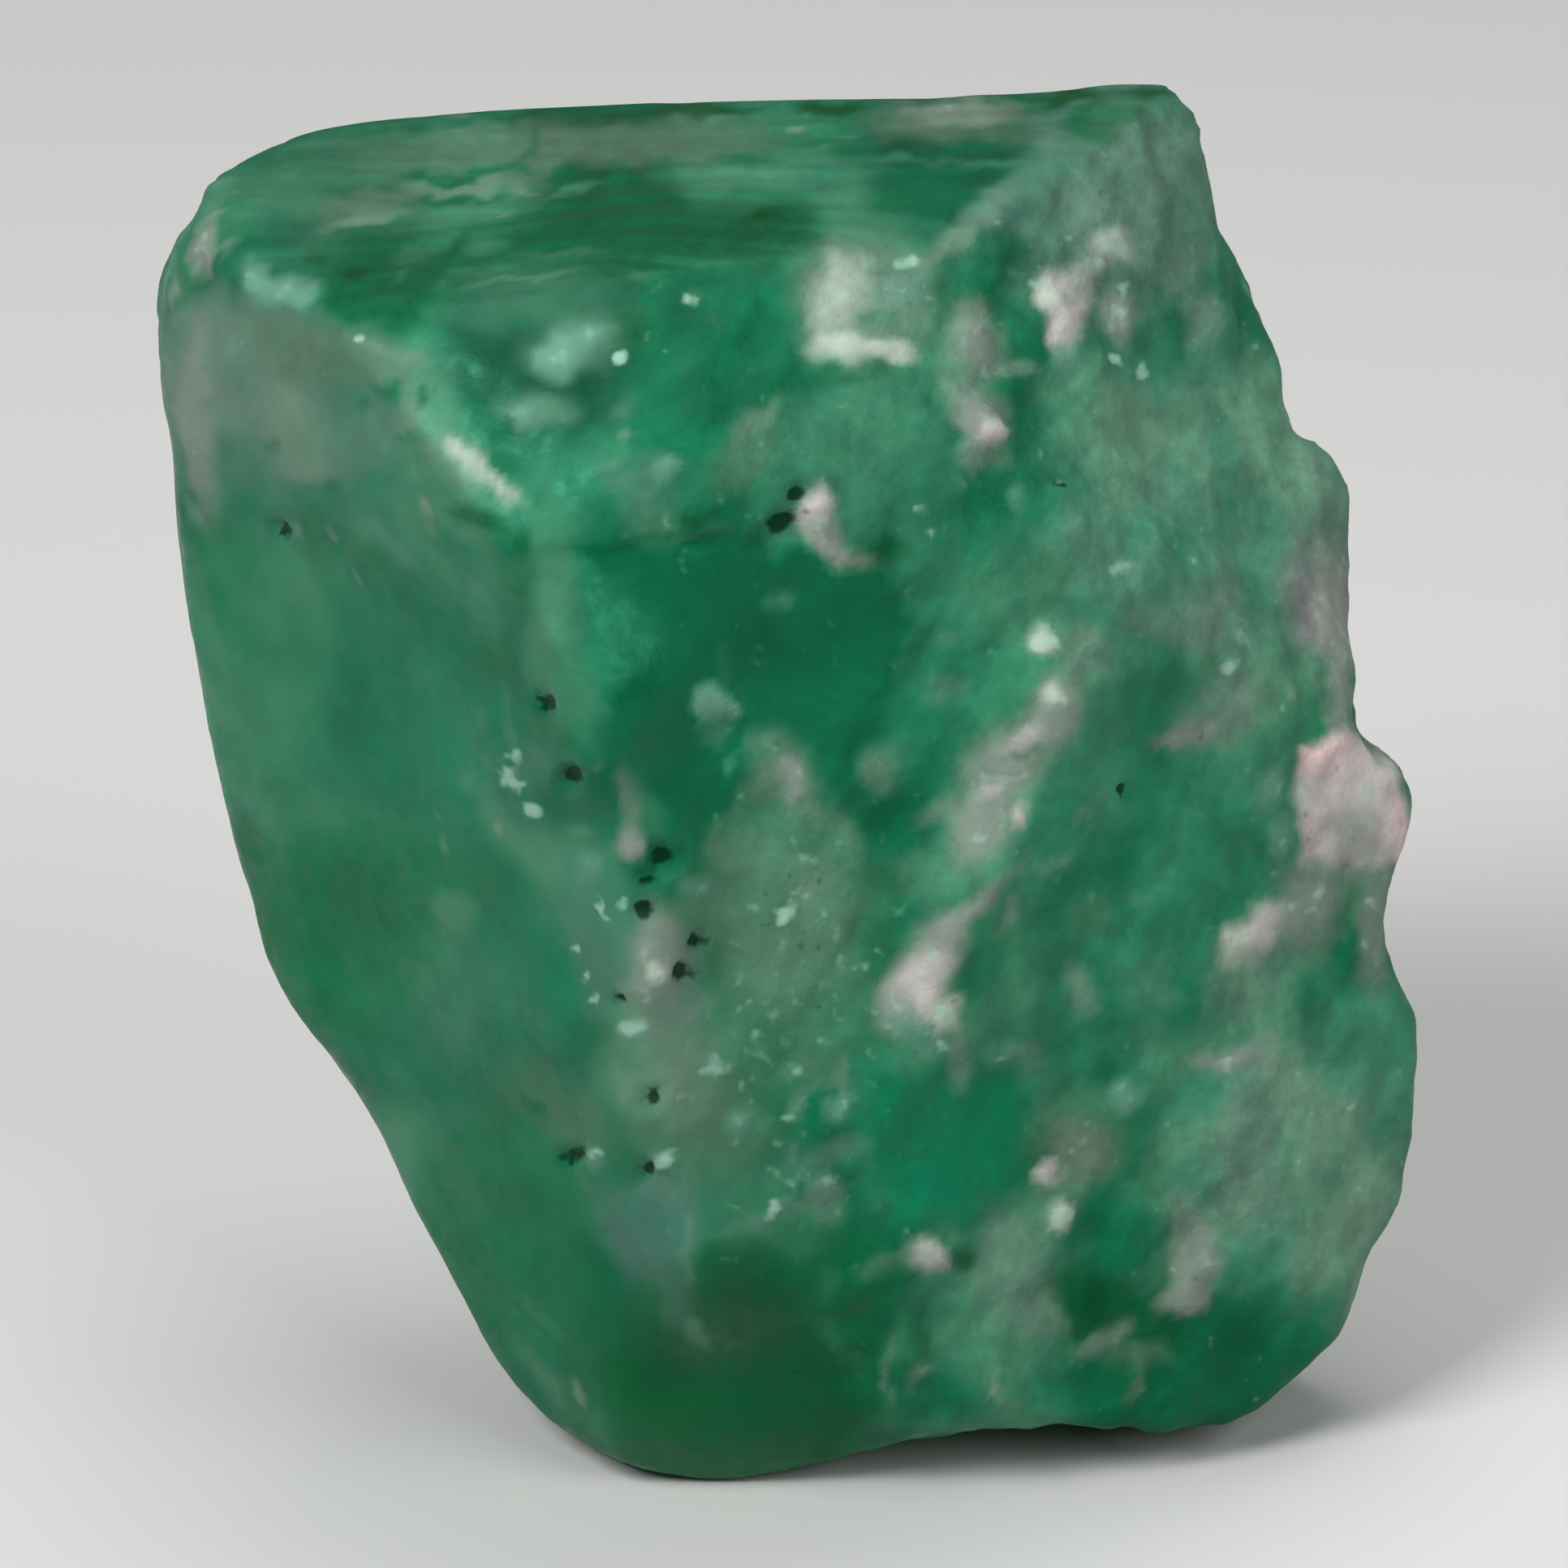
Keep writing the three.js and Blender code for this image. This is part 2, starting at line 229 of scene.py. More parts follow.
SHOULDER_MARKS = dict(
    left_step=(668, 365, 1.15, 0.42, 0, 45, GREEN),
    ledge_line=(640, 345, 0.8, 0.05, 6, 50, PALE),
    dark_spot=(640, 396, 0.14, 0.12, 0, 50, DEEP),
    pit_halo=(778, 408, 0.26, 0.18, 0, 85, DARK),
    mist_blotch=(712, 425, 0.75, 0.3, 16, 70, PALE),
    blotch=(686, 440, 0.26, 0.22, 20, 100, MINT),
    blotch_tail=(722, 420, 0.42, 0.1, 22, 80, MINT),
    lower_mist=(660, 505, 0.5, 0.2, 0, 80, PALE),
    lower_mist_spot=(642, 514, 0.12, 0.1, 0, 90, MINT),
    blotch_2=(806, 582, 0.45, 0.2, 12, 85, SLATE),
    blotch_core_2=(822, 578, 0.26, 0.1, 15, 90, MINT),
    its_left=(762, 590, 0.4, 0.16, -30, 70, SLATE),
    pale_foot_shoulder=(800, 640, 0.45, 0.28, -40, 50, PALE),
    deep_gap=(700, 600, 0.5, 0.16, 20, 50, DEEP),
    dark_sliver=(855, 636, 0.42, 0.1, 14, 70, DARK),
    # painted shadow of the ledge above the window, in place of a deeper step
    painted_ledge_shadow=(790, 668, 0.8, 0.06, 8, 80, DARK),
    pale_line_above_it=(850, 655, 0.6, 0.05, 10, 55, GREEN),
    step_shade=(925, 425, 0.55, 0.6, 0, 40, DEEP),
    deep_bar_under_step=(955, 472, 0.95, 0.16, 4, 75, DEEP),
    round_hump=(1060, 560, 1.35, 0.85, 10, 45, GREEN),
    hump_upper_edge=(935, 515, 0.4, 0.12, 50, 50, GREY),
    hump_left=(920, 560, 0.6, 0.3, 60, 50, BROWN),
    mist_above_bar=(1068, 370, 0.95, 0.75, -20, 85, GREY),
    patch_above_bar=(1030, 366, 0.6, 0.26, 76, 60, WHITE),
    patch_top=(1060, 308, 0.55, 0.14, -8, 55, GREY),
    patch_green_heart=(1075, 392, 0.3, 0.1, 0, 50, GREEN),
    patch_right=(1115, 357, 0.25, 0.15, 10, 60, MINT),
    dark_spot_by_blotch=(775, 407, 0.32, 0.22, 0, 75, DARK),
    low_patch=(802, 592, 0.55, 0.3, 10, 45, SLATE),
    # painted highlight: the glint at the top of the pinkish streak
    painted_highlight_on_streak=(1369, 304, 0.24, 0.2, -60, 100, WHITE),
    bright_bar=(1036, 428, 0.42, 0.14, -2, 90, WHITE),
    bright_bar_right=(1094, 436, 0.36, 0.12, -5, 85, WHITE),
    shade_under_bar=(1050, 462, 0.8, 0.1, 0, 50, DEEP),
    wisp_from_top_face=(1190, 285, 0.9, 0.14, 38, 60, GREY),
    wisp_2=(1150, 322, 0.6, 0.08, 36, 50, GREY),
    deep_gap_right_bar=(1212, 345, 0.75, 0.26, 52, 70, DEEP),
    small_deep_gap=(1250, 308, 0.28, 0.24, 0, 70, DEEP),
    tall_flake_top=(1204, 418, 0.5, 0.24, -68, 85, PINK),
    tall_flake_left=(1180, 455, 0.6, 0.2, 85, 50, GREY),
    tall_flake_heart=(1208, 465, 0.16, 0.1, 90, 80, GREEN),
    tall_flake_right_arm=(1240, 456, 0.42, 0.1, 5, 70, GREY),
    tall_flake_low=(1208, 520, 0.5, 0.24, -72, 95, PINK),
    tall_flake_foot=(1222, 534, 0.17, 0.12, 0, 90, ROSY),
    tall_flake_tail=(1198, 566, 0.3, 0.08, 92, 70, GREY),
    streak=(1309, 372, 0.42, 0.22, 82, 100, ROSY),
    streak_bright_side=(1296, 366, 0.2, 0.12, 60, 100, WHITE),
    streak_neck=(1338, 340, 0.45, 0.13, 48, 85, PINK),
    streak_foot=(1305, 414, 0.2, 0.16, 80, 95, ROSY),
    under_streak=(1312, 442, 0.2, 0.12, 0, 80, MINT),
    thin_streak=(1374, 392, 0.36, 0.17, -76, 75, PINK),
    below_streaks=(1310, 470, 0.55, 0.22, 30, 45, PALE),
    far_right_mist=(1478, 392, 0.36, 0.22, 78, 75, GREY),
    mist_above_it=(1462, 330, 0.4, 0.2, 70, 50, GREY),
    upper_right_face=(1420, 240, 1.2, 0.7, -62, 40, GREY),
    flake_by_hole=(1006, 632, 0.32, 0.16, 84, 100, ROSY),
    flake_by_hole_middle=(1014, 662, 0.3, 0.14, -65, 95, PINK),
    its_foot=(1038, 686, 0.36, 0.1, -14, 95, PINK),
    under_its_foot=(1050, 700, 0.3, 0.06, -8, 50, BROWN),
    pit_halo_right=(1088, 678, 0.28, 0.12, 0, 70, DARK),
)

LEFT_END_MARKS = dict(
    corner=(262, 450, 0.85, 0.6, -70, 60, GREY),
    # painted reflection: a pinkish rim reflection of the light along the left edge
    painted_reflection_left_edge=(242, 520, 1.1, 0.16, 97, 70, PINK),
    corner_spot=(297, 425, 0.2, 0.16, 0, 60, MINT),
    brown_veil=(415, 438, 1.2, 0.38, -12, 75, BROWN),
    grey_veil=(430, 545, 0.95, 0.42, 4, 60, PALE),
    edge_line=(475, 432, 0.5, 0.07, -16, 70, GREY),
    dark_spot_1=(483, 478, 0.2, 0.13, 0, 80, DEEP),
    dark_spot_2=(521, 490, 0.11, 0.1, 0, 75, DARK),
    dark_spot_3=(445, 500, 0.1, 0.09, 0, 65, DEEP),
    dark_spot_4=(335, 546, 0.13, 0.1, 0, 55, DEEP),
    dark_spot_5=(508, 543, 0.22, 0.07, 0, 70, DEEP),
    dark_spot_6=(522, 562, 0.16, 0.1, -30, 70, DEEP),
    spot_between_them=(452, 507, 0.12, 0.09, 0, 50, PALE),
    shade_above_sliver=(606, 532, 0.62, 0.2, -58, 70, DEEP),
    sliver_grey_side=(550, 572, 0.55, 0.2, -42, 60, GREY),
    sliver=(592, 580, 0.6, 0.11, -42, 70, WHITE),
    sliver_head=(560, 552, 0.2, 0.11, -45, 60, WHITE),
    dark_arc_left=(588, 638, 0.46, 0.11, -14, 75, DARK),
    dark_arc_right=(640, 664, 0.34, 0.13, -56, 85, DARK),
    dark_arc_foot=(643, 722, 0.16, 0.08, 0, 60, DEEP),
    wisp=(462, 652, 0.2, 0.13, -40, 55, PALE),
    wisp_tail=(495, 685, 0.35, 0.1, -42, 45, PALE),
    pale_spot=(576, 656, 0.16, 0.13, 0, 50, PALE),
    strip_beside_window=(684, 722, 1.15, 0.26, 92, 75, GREEN),
    strip_low_part=(700, 850, 0.9, 0.36, -72, 60, GREEN),
    pale_part_strip=(672, 760, 0.6, 0.2, 80, 40, PALE),
    deep_cloud=(520, 735, 0.85, 0.4, -20, 40, DEEP),
    deep_cloud_2=(602, 815, 0.42, 0.3, 0, 50, DEEP),
    bright_cloud=(330, 830, 1.2, 0.6, 80, 35, GREEN),
    low_deep_cloud=(452, 1120, 0.95, 0.7, 20, 60, DEEP),
    low_pale_cloud=(560, 1125, 0.34, 0.22, -60, 50, PALE),
    pale_cloud_under_it=(560, 1230, 0.9, 0.5, 80, 35, GREEN),
    veil=(665, 1345, 0.6, 0.35, -20, 40, BROWN),
    scratch=(655, 1362, 0.26, 0.06, -48, 75, DEEP),
    small_deep_cloud=(720, 1290, 0.4, 0.3, 60, 55, DEEP),
    # painted shade: the left end's foot darker where it turns under, away from the light
    painted_shade_left_end_foot=(700, 1580, 0.9, 0.55, -40, 60, DEEP),
    line_at_foot=(665, 1622, 0.55, 0.07, -38, 35, GREEN),
    low_rim=(560, 1440, 0.8, 0.2, -58, 35, GREEN),
)

RIDGE_MARKS = dict(
    mist_specks=(655, 948, 0.42, 0.32, 0, 60, SLATE),
    faint_pit_1=(696, 915, 0.14, 0.1, 0, 60, DEEP),
    faint_pit_2=(696, 996, 0.16, 0.09, 0, 55, DEEP),
    faint_pit_3=(598, 910, 0.12, 0.1, 0, 45, DEEP),
    spot_1=(713, 1023, 0.18, 0.1, -15, 60, PALE),
    spot_2=(758, 1044, 0.15, 0.11, 0, 45, PALE),
    spot_3=(727, 1073, 0.17, 0.13, 0, 70, MINT),
    upper_crest=(776, 982, 0.42, 0.12, 100, 85, GREY),
    upper_crest_foot=(783, 1038, 0.24, 0.13, 94, 95, PINK),
    crest_right=(802, 1000, 0.5, 0.17, -65, 50, GREEN),
    deep_gap_by_pits=(795, 1080, 0.26, 0.2, -20, 70, DEEP),
    slate_patch=(745, 1150, 0.85, 0.42, -62, 75, SLATE),
    slate_patch_foot=(738, 1215, 0.4, 0.25, -60, 55, SLATE),
    middle_mist=(935, 1150, 1.25, 0.95, 20, 45, BROWN),
    middle_mist_right=(1000, 1185, 0.7, 0.45, 80, 35, PALE),
    middle_spot_1=(861, 1092, 0.22, 0.1, 5, 60, MINT),
    middle_spot_2=(922, 1056, 0.18, 0.12, 10, 45, PALE),
    middle_spot_3=(992, 1094, 0.24, 0.2, 40, 50, GREY),
    middle_spot_4=(923, 1204, 0.22, 0.14, 15, 40, PALE),
    crest_top=(812, 1190, 0.75, 0.32, 92, 85, PINK),
    crest_middle=(826, 1275, 0.8, 0.42, 92, 70, GREY),
    crest_low=(842, 1345, 0.55, 0.4, 80, 60, GREY),
    crest_right_arm=(852, 1240, 0.42, 0.14, 18, 60, GREY),
    crest_bright_spot=(811, 1199, 0.13, 0.1, 0, 100, WHITE),
    crest_left_spot=(778, 1268, 0.2, 0.1, 5, 95, MINT),
    crest_low_spot=(884, 1318, 0.24, 0.13, -42, 95, MINT),
    gap_right_crest=(905, 1340, 0.55, 0.4, 80, 30, DEEP),
    low_veil=(870, 1400, 1.0, 0.5, 10, 50, BROWN),
    low_veil_spot=(908, 1383, 0.2, 0.16, 0, 65, MINT),
    slate_hollow=(763, 1438, 0.24, 0.3, 0, 50, DEEP),
    spot_left_it=(730, 1424, 0.14, 0.09, 0, 80, MINT),
    spot_right_it=(818, 1427, 0.18, 0.1, 0, 85, MINT),
    spot_under_that=(822, 1460, 0.12, 0.1, -40, 65, PALE),
    grey_shoulder_hollow=(716, 1392, 0.5, 0.28, -35, 55, BROWN),
    grey_foot_top=(775, 1505, 0.75, 0.36, -48, 60, SLATE),
    grey_foot_middle=(822, 1560, 0.6, 0.2, -80, 60, SLATE),
    grey_foot_low=(828, 1612, 0.3, 0.13, 80, 60, SLATE),
    grey_foot_tip=(857, 1643, 0.28, 0.09, -55, 85, PALE),
    edge_grey_foot=(850, 1540, 0.85, 0.06, 88, 50, GREY),
)

FRONT_MARKS = dict(
    # painted shade: darkens the window's left part, which the lamps light more than the rest
    painted_shade_window_left=(790, 770, 0.9, 0.6, -60, 35, DEEP),
    window_dark_heart=(940, 800, 0.5, 0.34, -30, 50, DARK),
    window_right=(1070, 740, 0.5, 0.4, 20, 50, DEEP),
    dark_patch_by_hole=(1085, 677, 0.36, 0.18, 5, 70, DARK),
    window_small_cloud=(955, 738, 0.2, 0.1, 15, 45, PALE),
    ghost_line=(900, 830, 0.4, 0.08, -70, 30, GREEN),
    inclusion=(874, 862, 0.22, 0.18, 0, 100, MINT),
    inclusion_foot=(886, 876, 0.3, 0.09, -8, 100, MINT),
    under_inclusion=(880, 900, 0.3, 0.12, 10, 35, PALE),
    small_wisp=(897, 938, 0.1, 0.12, 0, 50, PALE),
    delta_top=(940, 912, 0.25, 0.09, 10, 60, PALE),
    delta=(968, 958, 0.62, 0.34, -62, 65, GREY),
    delta_core=(973, 948, 0.2, 0.14, -70, 90, PINK),
    delta_low_core=(979, 974, 0.16, 0.1, 0, 80, PINK),
    delta_right_leg=(1016, 1004, 0.4, 0.15, -52, 60, PALE),
    delta_left_leg=(918, 1010, 0.52, 0.2, 24, 55, GREEN),
    right_delta=(1052, 968, 0.65, 0.3, -62, 65, DEEP),
    cloud_right_that=(1081, 945, 0.22, 0.26, 0, 60, GREY),
    faint_cloud=(1164, 846, 0.34, 0.2, 10, 55, PALE),
    lone_spot=(1167, 783, 0.12, 0.09, 0, 50, PALE),
    faint_cloud_low=(1125, 1078, 0.42, 0.28, -20, 40, PALE),
    deep_gap_left_rib=(1085, 1160, 0.5, 0.4, 70, 45, DEEP),
    rib_head=(1334, 802, 0.5, 0.3, -48, 70, GREY),
    rib_head_core=(1288, 790, 0.16, 0.12, 70, 90, WHITE),
    upper_spot_pair=(1312, 655, 0.22, 0.12, -50, 60, PALE),
    spot=(1384, 704, 0.17, 0.14, 0, 65, MINT),
    mist_under_spots=(1340, 690, 0.7, 0.36, -30, 35, PALE),
    rib_top=(1298, 878, 0.5, 0.26, 62, 85, PINK),
    rib_top_spot=(1296, 856, 0.15, 0.11, 0, 85, WHITE),
    rib_upper_line=(1257, 912, 0.3, 0.1, 32, 90, ROSY),
    rib_middle=(1236, 950, 0.62, 0.36, 55, 85, PINK),
    rib_shade=(1258, 928, 0.26, 0.05, 10, 45, DEEP),
    rib_middle_spot=(1219, 981, 0.16, 0.08, 10, 70, ROSY),
    rib_right_spot=(1258, 1004, 0.14, 0.12, 0, 80, ROSY),
    rib_left_arm=(1160, 1000, 0.34, 0.13, 12, 75, GREY),
    rib_low_part=(1204, 1024, 0.5, 0.26, 62, 85, PINK),
    thin_rib=(1226, 1092, 0.62, 0.08, 40, 70, GREY),
    lower_rib_top=(1183, 1128, 0.5, 0.13, 44, 95, PINK),
    lower_rib_middle=(1152, 1168, 0.5, 0.24, 60, 90, PINK),
    lower_rib_foot=(1134, 1212, 0.45, 0.28, 62, 95, ROSY),
    lower_rib_left_foot=(1104, 1244, 0.26, 0.26, 0, 85, PINK),
    lower_rib_low_edge=(1130, 1270, 0.42, 0.14, -28, 85, MINT),
    lower_rib_tail=(1179, 1300, 0.42, 0.13, 98, 80, GREY),
    lower_rib_bright_spot=(1166, 1248, 0.18, 0.16, 0, 100, WHITE),
    right_part_upper_cloud=(1485, 757, 0.55, 0.36, 60, 50, GREY),
    right_part_oval=(1425, 768, 0.42, 0.2, -15, 60, GREY),
    right_part_patch=(1512, 872, 0.7, 0.36, 32, 65, GREY),
    wisp_right_rib=(1334, 996, 0.3, 0.09, 38, 55, PALE),
    wisp_2=(1298, 1068, 0.24, 0.11, 35, 70, MINT),
    deep_stretch=(1330, 1100, 1.1, 0.5, 40, 30, DEEP),
    right_flake_upper_spot=(1515, 826, 0.16, 0.15, 0, 80, MINT),
    right_flake=(1516, 872, 0.45, 0.28, 50, 75, GREY),
    right_flake_left_spot=(1484, 868, 0.26, 0.13, 20, 75, MINT),
    right_flake_tail=(1460, 909, 0.42, 0.12, 8, 85, PINK),
    upper_right_cloud=(1428, 770, 0.28, 0.14, -18, 70, PALE),
    cloud_2=(1492, 756, 0.45, 0.2, 50, 60, GREY),
    third_cloud=(1528, 780, 0.34, 0.13, -60, 65, MINT),
    faint_cloud_by_edge=(1420, 560, 0.3, 0.2, 60, 40, PALE),
    faint_cloud_2=(1400, 600, 0.22, 0.16, 0, 45, PALE),
    third_faint_cloud=(1436, 608, 0.2, 0.15, 0, 45, PALE),
    left_nodule_upper=(1563, 968, 0.2, 0.22, 0, 80, MINT),
    left_nodule_lower=(1576, 1028, 0.16, 0.2, 0, 75, MINT),
    # painted reflection: pinkish and grey rim reflections of the light along the right edge, this one and
    # the next two
    painted_reflection_above_nodule=(1642, 850, 0.62, 0.13, 96, 80, PINK),
    upper_edge=(1630, 640, 0.9, 0.26, -80, 60, GREY),
    painted_reflection_right_edge=(1640, 760, 0.8, 0.2, 92, 60, PINK),
    nodule=(1675, 975, 0.7, 0.36, 100, 100, ROSY),
    nodule_foot=(1664, 1040, 0.45, 0.36, 0, 80, PINK),
    edge_under_nodule=(1690, 1140, 0.8, 0.18, 92, 70, PINK),
    big_wisp=(1546, 1152, 0.52, 0.2, 42, 95, ROSY),
    big_wisp_bright_end=(1528, 1166, 0.2, 0.13, 20, 95, WHITE),
    big_wisp_right=(1606, 1118, 0.65, 0.34, 78, 75, PINK),
    veil_under_wisp=(1536, 1210, 0.6, 0.5, 60, 60, GREY),
    cloud=(1343, 1126, 0.34, 0.28, 0, 40, BROWN),
    small_spot=(1403, 1111, 0.12, 0.1, 0, 50, PALE),
    slanted_cloud=(1329, 1214, 0.36, 0.18, -78, 75, GREY),
    pale_row=(1425, 1228, 0.42, 0.14, -10, 45, PALE),
    deep_spot=(1435, 1138, 0.42, 0.3, 20, 50, DEEP),
    deep_spot_2=(1357, 1318, 0.26, 0.2, 0, 65, DEEP),
    deep_edge=(1640, 1270, 0.7, 0.36, -60, 40, DEEP),
)

LOW_MARKS = dict(
    arc=(1518, 1304, 0.5, 0.1, 3, 85, PINK),
    arc_right_end=(1562, 1284, 0.22, 0.12, 50, 80, GREY),
    pair=(1237, 1295, 0.3, 0.15, 32, 80, MINT),
    pair_right=(1266, 1300, 0.3, 0.16, 80, 45, GREY),
    dot_1=(1037, 1324, 0.13, 0.22, 0, 65, GREY),
    dot_2=(1031, 1362, 0.16, 0.17, 0, 70, MINT),
    dot_3=(1044, 1410, 0.26, 0.13, 0, 65, PALE),
    dot_4=(1012, 1464, 0.2, 0.16, -30, 85, MINT),
    line=(952, 1490, 0.26, 0.06, 22, 100, MINT),
    line_body=(960, 1494, 0.95, 0.13, 20, 70, PALE),
    fan=(985, 1515, 0.55, 0.3, 10, 60, GREEN),
    fan_right=(1016, 1480, 0.3, 0.26, 0, 55, GREY),
    fan_upper_line=(1002, 1428, 0.4, 0.12, 22, 60, PALE),
    low_spot=(1385, 1347, 0.26, 0.14, 5, 80, MINT),
    brown_cloud=(1322, 1405, 0.6, 0.55, 70, 65, BROWN),
    brown_cloud_core=(1335, 1415, 0.4, 0.3, 40, 40, PINK),
    brown_cloud_foot=(1305, 1470, 0.5, 0.3, 70, 40, GREY),
    bright_spot_1=(1291, 1446, 0.15, 0.12, 0, 85, ROSY),
    bright_spot_2=(1305, 1498, 0.14, 0.14, 0, 95, WHITE),
    long_veil=(1246, 1555, 0.85, 0.45, 78, 70, GREY),
    veil_foot=(1284, 1620, 0.4, 0.28, -60, 70, GREY),
    veil_lowest_part=(1302, 1666, 0.34, 0.2, 0, 50, GREEN),
    triangle=(1138, 1548, 0.3, 0.15, -20, 85, ROSY),
    triangle_top=(1135, 1534, 0.13, 0.12, 0, 90, WHITE),
    triangle_left_arm=(1086, 1556, 0.4, 0.13, 20, 50, BROWN),
    triangle_upper_arm=(1170, 1516, 0.34, 0.1, 15, 55, GREEN),
    dark_gap_beside_it=(1182, 1552, 0.22, 0.18, 0, 80, DARK),
    # painted shade under the triangle, where the foot turns under
    painted_shade_under_triangle=(1078, 1600, 0.5, 0.34, 0, 60, DEEP),
    dark_hollow=(1345, 1598, 0.42, 0.36, -30, 100, DARK),
    dark_hollow_heart=(1352, 1604, 0.2, 0.22, 0, 80, OLIVE),
    dark_hollow_right=(1412, 1606, 0.6, 0.16, 4, 75, DARK),
    low_dark_gap=(1440, 1650, 0.36, 0.16, 0, 60, DARK),
    foot_flake=(1360, 1650, 0.4, 0.15, 34, 90, GREY),
    foot_flake_right=(1402, 1668, 0.42, 0.16, 0, 55, BROWN),
    foot_flake_tail=(1396, 1704, 0.24, 0.07, 85, 60, BROWN),
    low_wisp_top=(1458, 1500, 0.46, 0.16, 95, 70, GREY),
    low_wisp=(1474, 1558, 0.5, 0.22, 78, 85, PINK),
    low_wisp_foot=(1458, 1604, 0.3, 0.15, 15, 95, PINK),
    pale_column=(1536, 1400, 1.1, 0.45, 80, 65, GREY),
    pale_column_foot=(1545, 1480, 0.5, 0.4, 0, 40, GREY),
    # painted highlights: pale and slate rim highlights along the low right edge, this one and the next
    low_right_rim=(1686, 1530, 1.3, 0.14, 66, 60, GREY),
    right_rim=(1722, 1400, 0.8, 0.1, 84, 50, SLATE),
    foot_line=(1097, 1688, 0.46, 0.07, 86, 85, PALE),
    foot_wisp_1=(1020, 1640, 0.3, 0.13, -45, 45, GREEN),
    foot_wisp_2=(1046, 1676, 0.3, 0.1, -55, 50, GREEN),
    foot_wisp_3=(1018, 1580, 0.16, 0.2, 0, 40, GREEN),
    foot_spot=(1228, 1690, 0.24, 0.06, 10, 55, PALE),
    dark_strip_foot=(1131, 1650, 0.55, 0.16, 88, 60, DARK),
    # painted shade: the foot darker where it turns under, away from the light, these three
    painted_shade_foot_middle=(925, 1600, 0.75, 0.55, -70, 75, DARK),
    painted_shade_foot_left=(815, 1670, 0.6, 0.5, 60, 60, DARK),
    painted_shade_under_foot=(970, 1720, 1.4, 0.7, 10, 50, DARK),
)

# Stretches of the outline that stand out more or less: place, half width and height, and shift, in mm.
EDGE_SHIFTS = {
    "top right corner": (at(1450, 105), (1.6, 0.6), 0.12),
    "left corner": (at(212, 330), (0.8, 1.5), -0.3),
    "left edge, low part": (at(350, 1200), (0.7, 1.4), 0.1),
    "right edge, bulge": (at(1640, 590), (0.5, 0.7), 0.15),
    "right edge, upper part": (at(1655, 780), (0.5, 1.3), 0.04),
    "right edge, under the nodule": (at(1715, 1180), (0.5, 0.8), -0.1),
    "right edge, foot": (at(1640, 1640), (0.7, 0.9), 0.12),
}

# Pits along the ridge and elsewhere: place in pixels and radius in mm.
PITS = dict(
    left_end=(348, 655, 0.1),
    ridge_1=(670, 867, 0.11),
    ridge_2=(702, 960, 0.13),
    ridge_3=(820, 1060, 0.15),
    ridge_4=(800, 1085, 0.1),
    ridge_5=(793, 1122, 0.12),
    ridge_6=(862, 1160, 0.11),
    ridge_7=(845, 1200, 0.12),
    ridge_8=(765, 1230, 0.09),
    ridge_9=(799, 1355, 0.13),
    ridge_10=(703, 1426, 0.12),
    ridge_11=(795, 1442, 0.1),
    hole=(970, 648, 0.22),
    hole_upper_end=(985, 608, 0.13),
    right=(1385, 973, 0.1),
    upper_right=(1307, 597, 0.08),
)

# Painted glints: pale specks painted where the stone catches the light; place in pixels and radius in mm.
PAINTED_GLINTS = dict(
    streak_top=(1368, 304, 0.17),
    streak_neck=(1352, 328, 0.09),
    streak_left=(1284, 347, 0.1),
    right_streaks=(1384, 357, 0.09),
    under_streaks_left=(1367, 444, 0.09),
    under_streaks_right=(1404, 461, 0.1),
    over_patch=(1116, 326, 0.11),
    shoulder=(764, 438, 0.1),
    shoulder_upper=(850, 368, 0.09),
    blotch=(688, 447, 0.12),
    edge_line=(445, 417, 0.07),
    by_hole_upper=(1135, 628, 0.1),
    by_hole_lower=(1145, 656, 0.1),
    left_ridge_top=(629, 930, 0.11),
    left_ridge_middle=(624, 953, 0.12),
    left_ridge_low=(637, 966, 0.11),
    left_ridge_lowest=(656, 1001, 0.11),
    slate_patch_1=(740, 1116, 0.07),
    slate_patch_2=(768, 1111, 0.07),
    slate_patch_3=(746, 1133, 0.07),
    slate_patch_4=(709, 1171, 0.07),
    slate_patch_5=(723, 1202, 0.07),
    slate_patch_6=(733, 1233, 0.07),
    middle=(965, 1131, 0.12),
    ridge_right=(878, 1318, 0.13),
    ridge_left=(777, 1266, 0.13),
    right_rib_head=(1380, 702, 0.1),
    right_part=(1513, 823, 0.11),
    line=(955, 1488, 0.09),
    rib=(1166, 1248, 0.14),
    rib_head=(1288, 791, 0.13),
    rib_foot=(1157, 1287, 0.09),
    brown_cloud=(1305, 1498, 0.12),
    hollow_left=(730, 1424, 0.09),
    hollow_right=(818, 1427, 0.11),
)

Mark = namedtuple("Mark", "px py half_length half_width turn strength tint")
MARK_TABLES = (TOP_FACE_MARKS, SHOULDER_MARKS, LEFT_END_MARKS, FRONT_MARKS, LOW_MARKS, RIDGE_MARKS)
MARKS = [Mark(*row) for table in MARK_TABLES for row in table.values()]
MARK_SPREAD = (1.08, 1.25)  # how much longer and wider a mark is laid than its table says
PALE_SPREAD = (1.15, 1.5)  # the same for the standing marks
MARK_EDGE = 0.6  # how soft the edge of a mark or pit is, as a share of its size
DARK_TINTS = (GREEN, DEEP, DARK, OLIVE)  # of marks as clear as what they lie on
STANDING_TINTS = (WHITE, ROSY, PINK, MINT)  # of marks that stand out a little
FLAKE_HEIGHT = 0.05  # mm

# Pits and painted glints: turn in degrees, length and width against the radius, and soft edge.
SPOT_TURN = 15
GLINT_STRETCH, GLINT_EDGE = (1.6, 1.35), 0.9
PIT_STRETCH, PIT_EDGE = (1.35, 1.15), 0.8
HOLLOW_TURN = 20
HOLLOW_STRETCH = (1.5, 1.2)
HOLLOW_DEPTH = 1.3  # times the radius

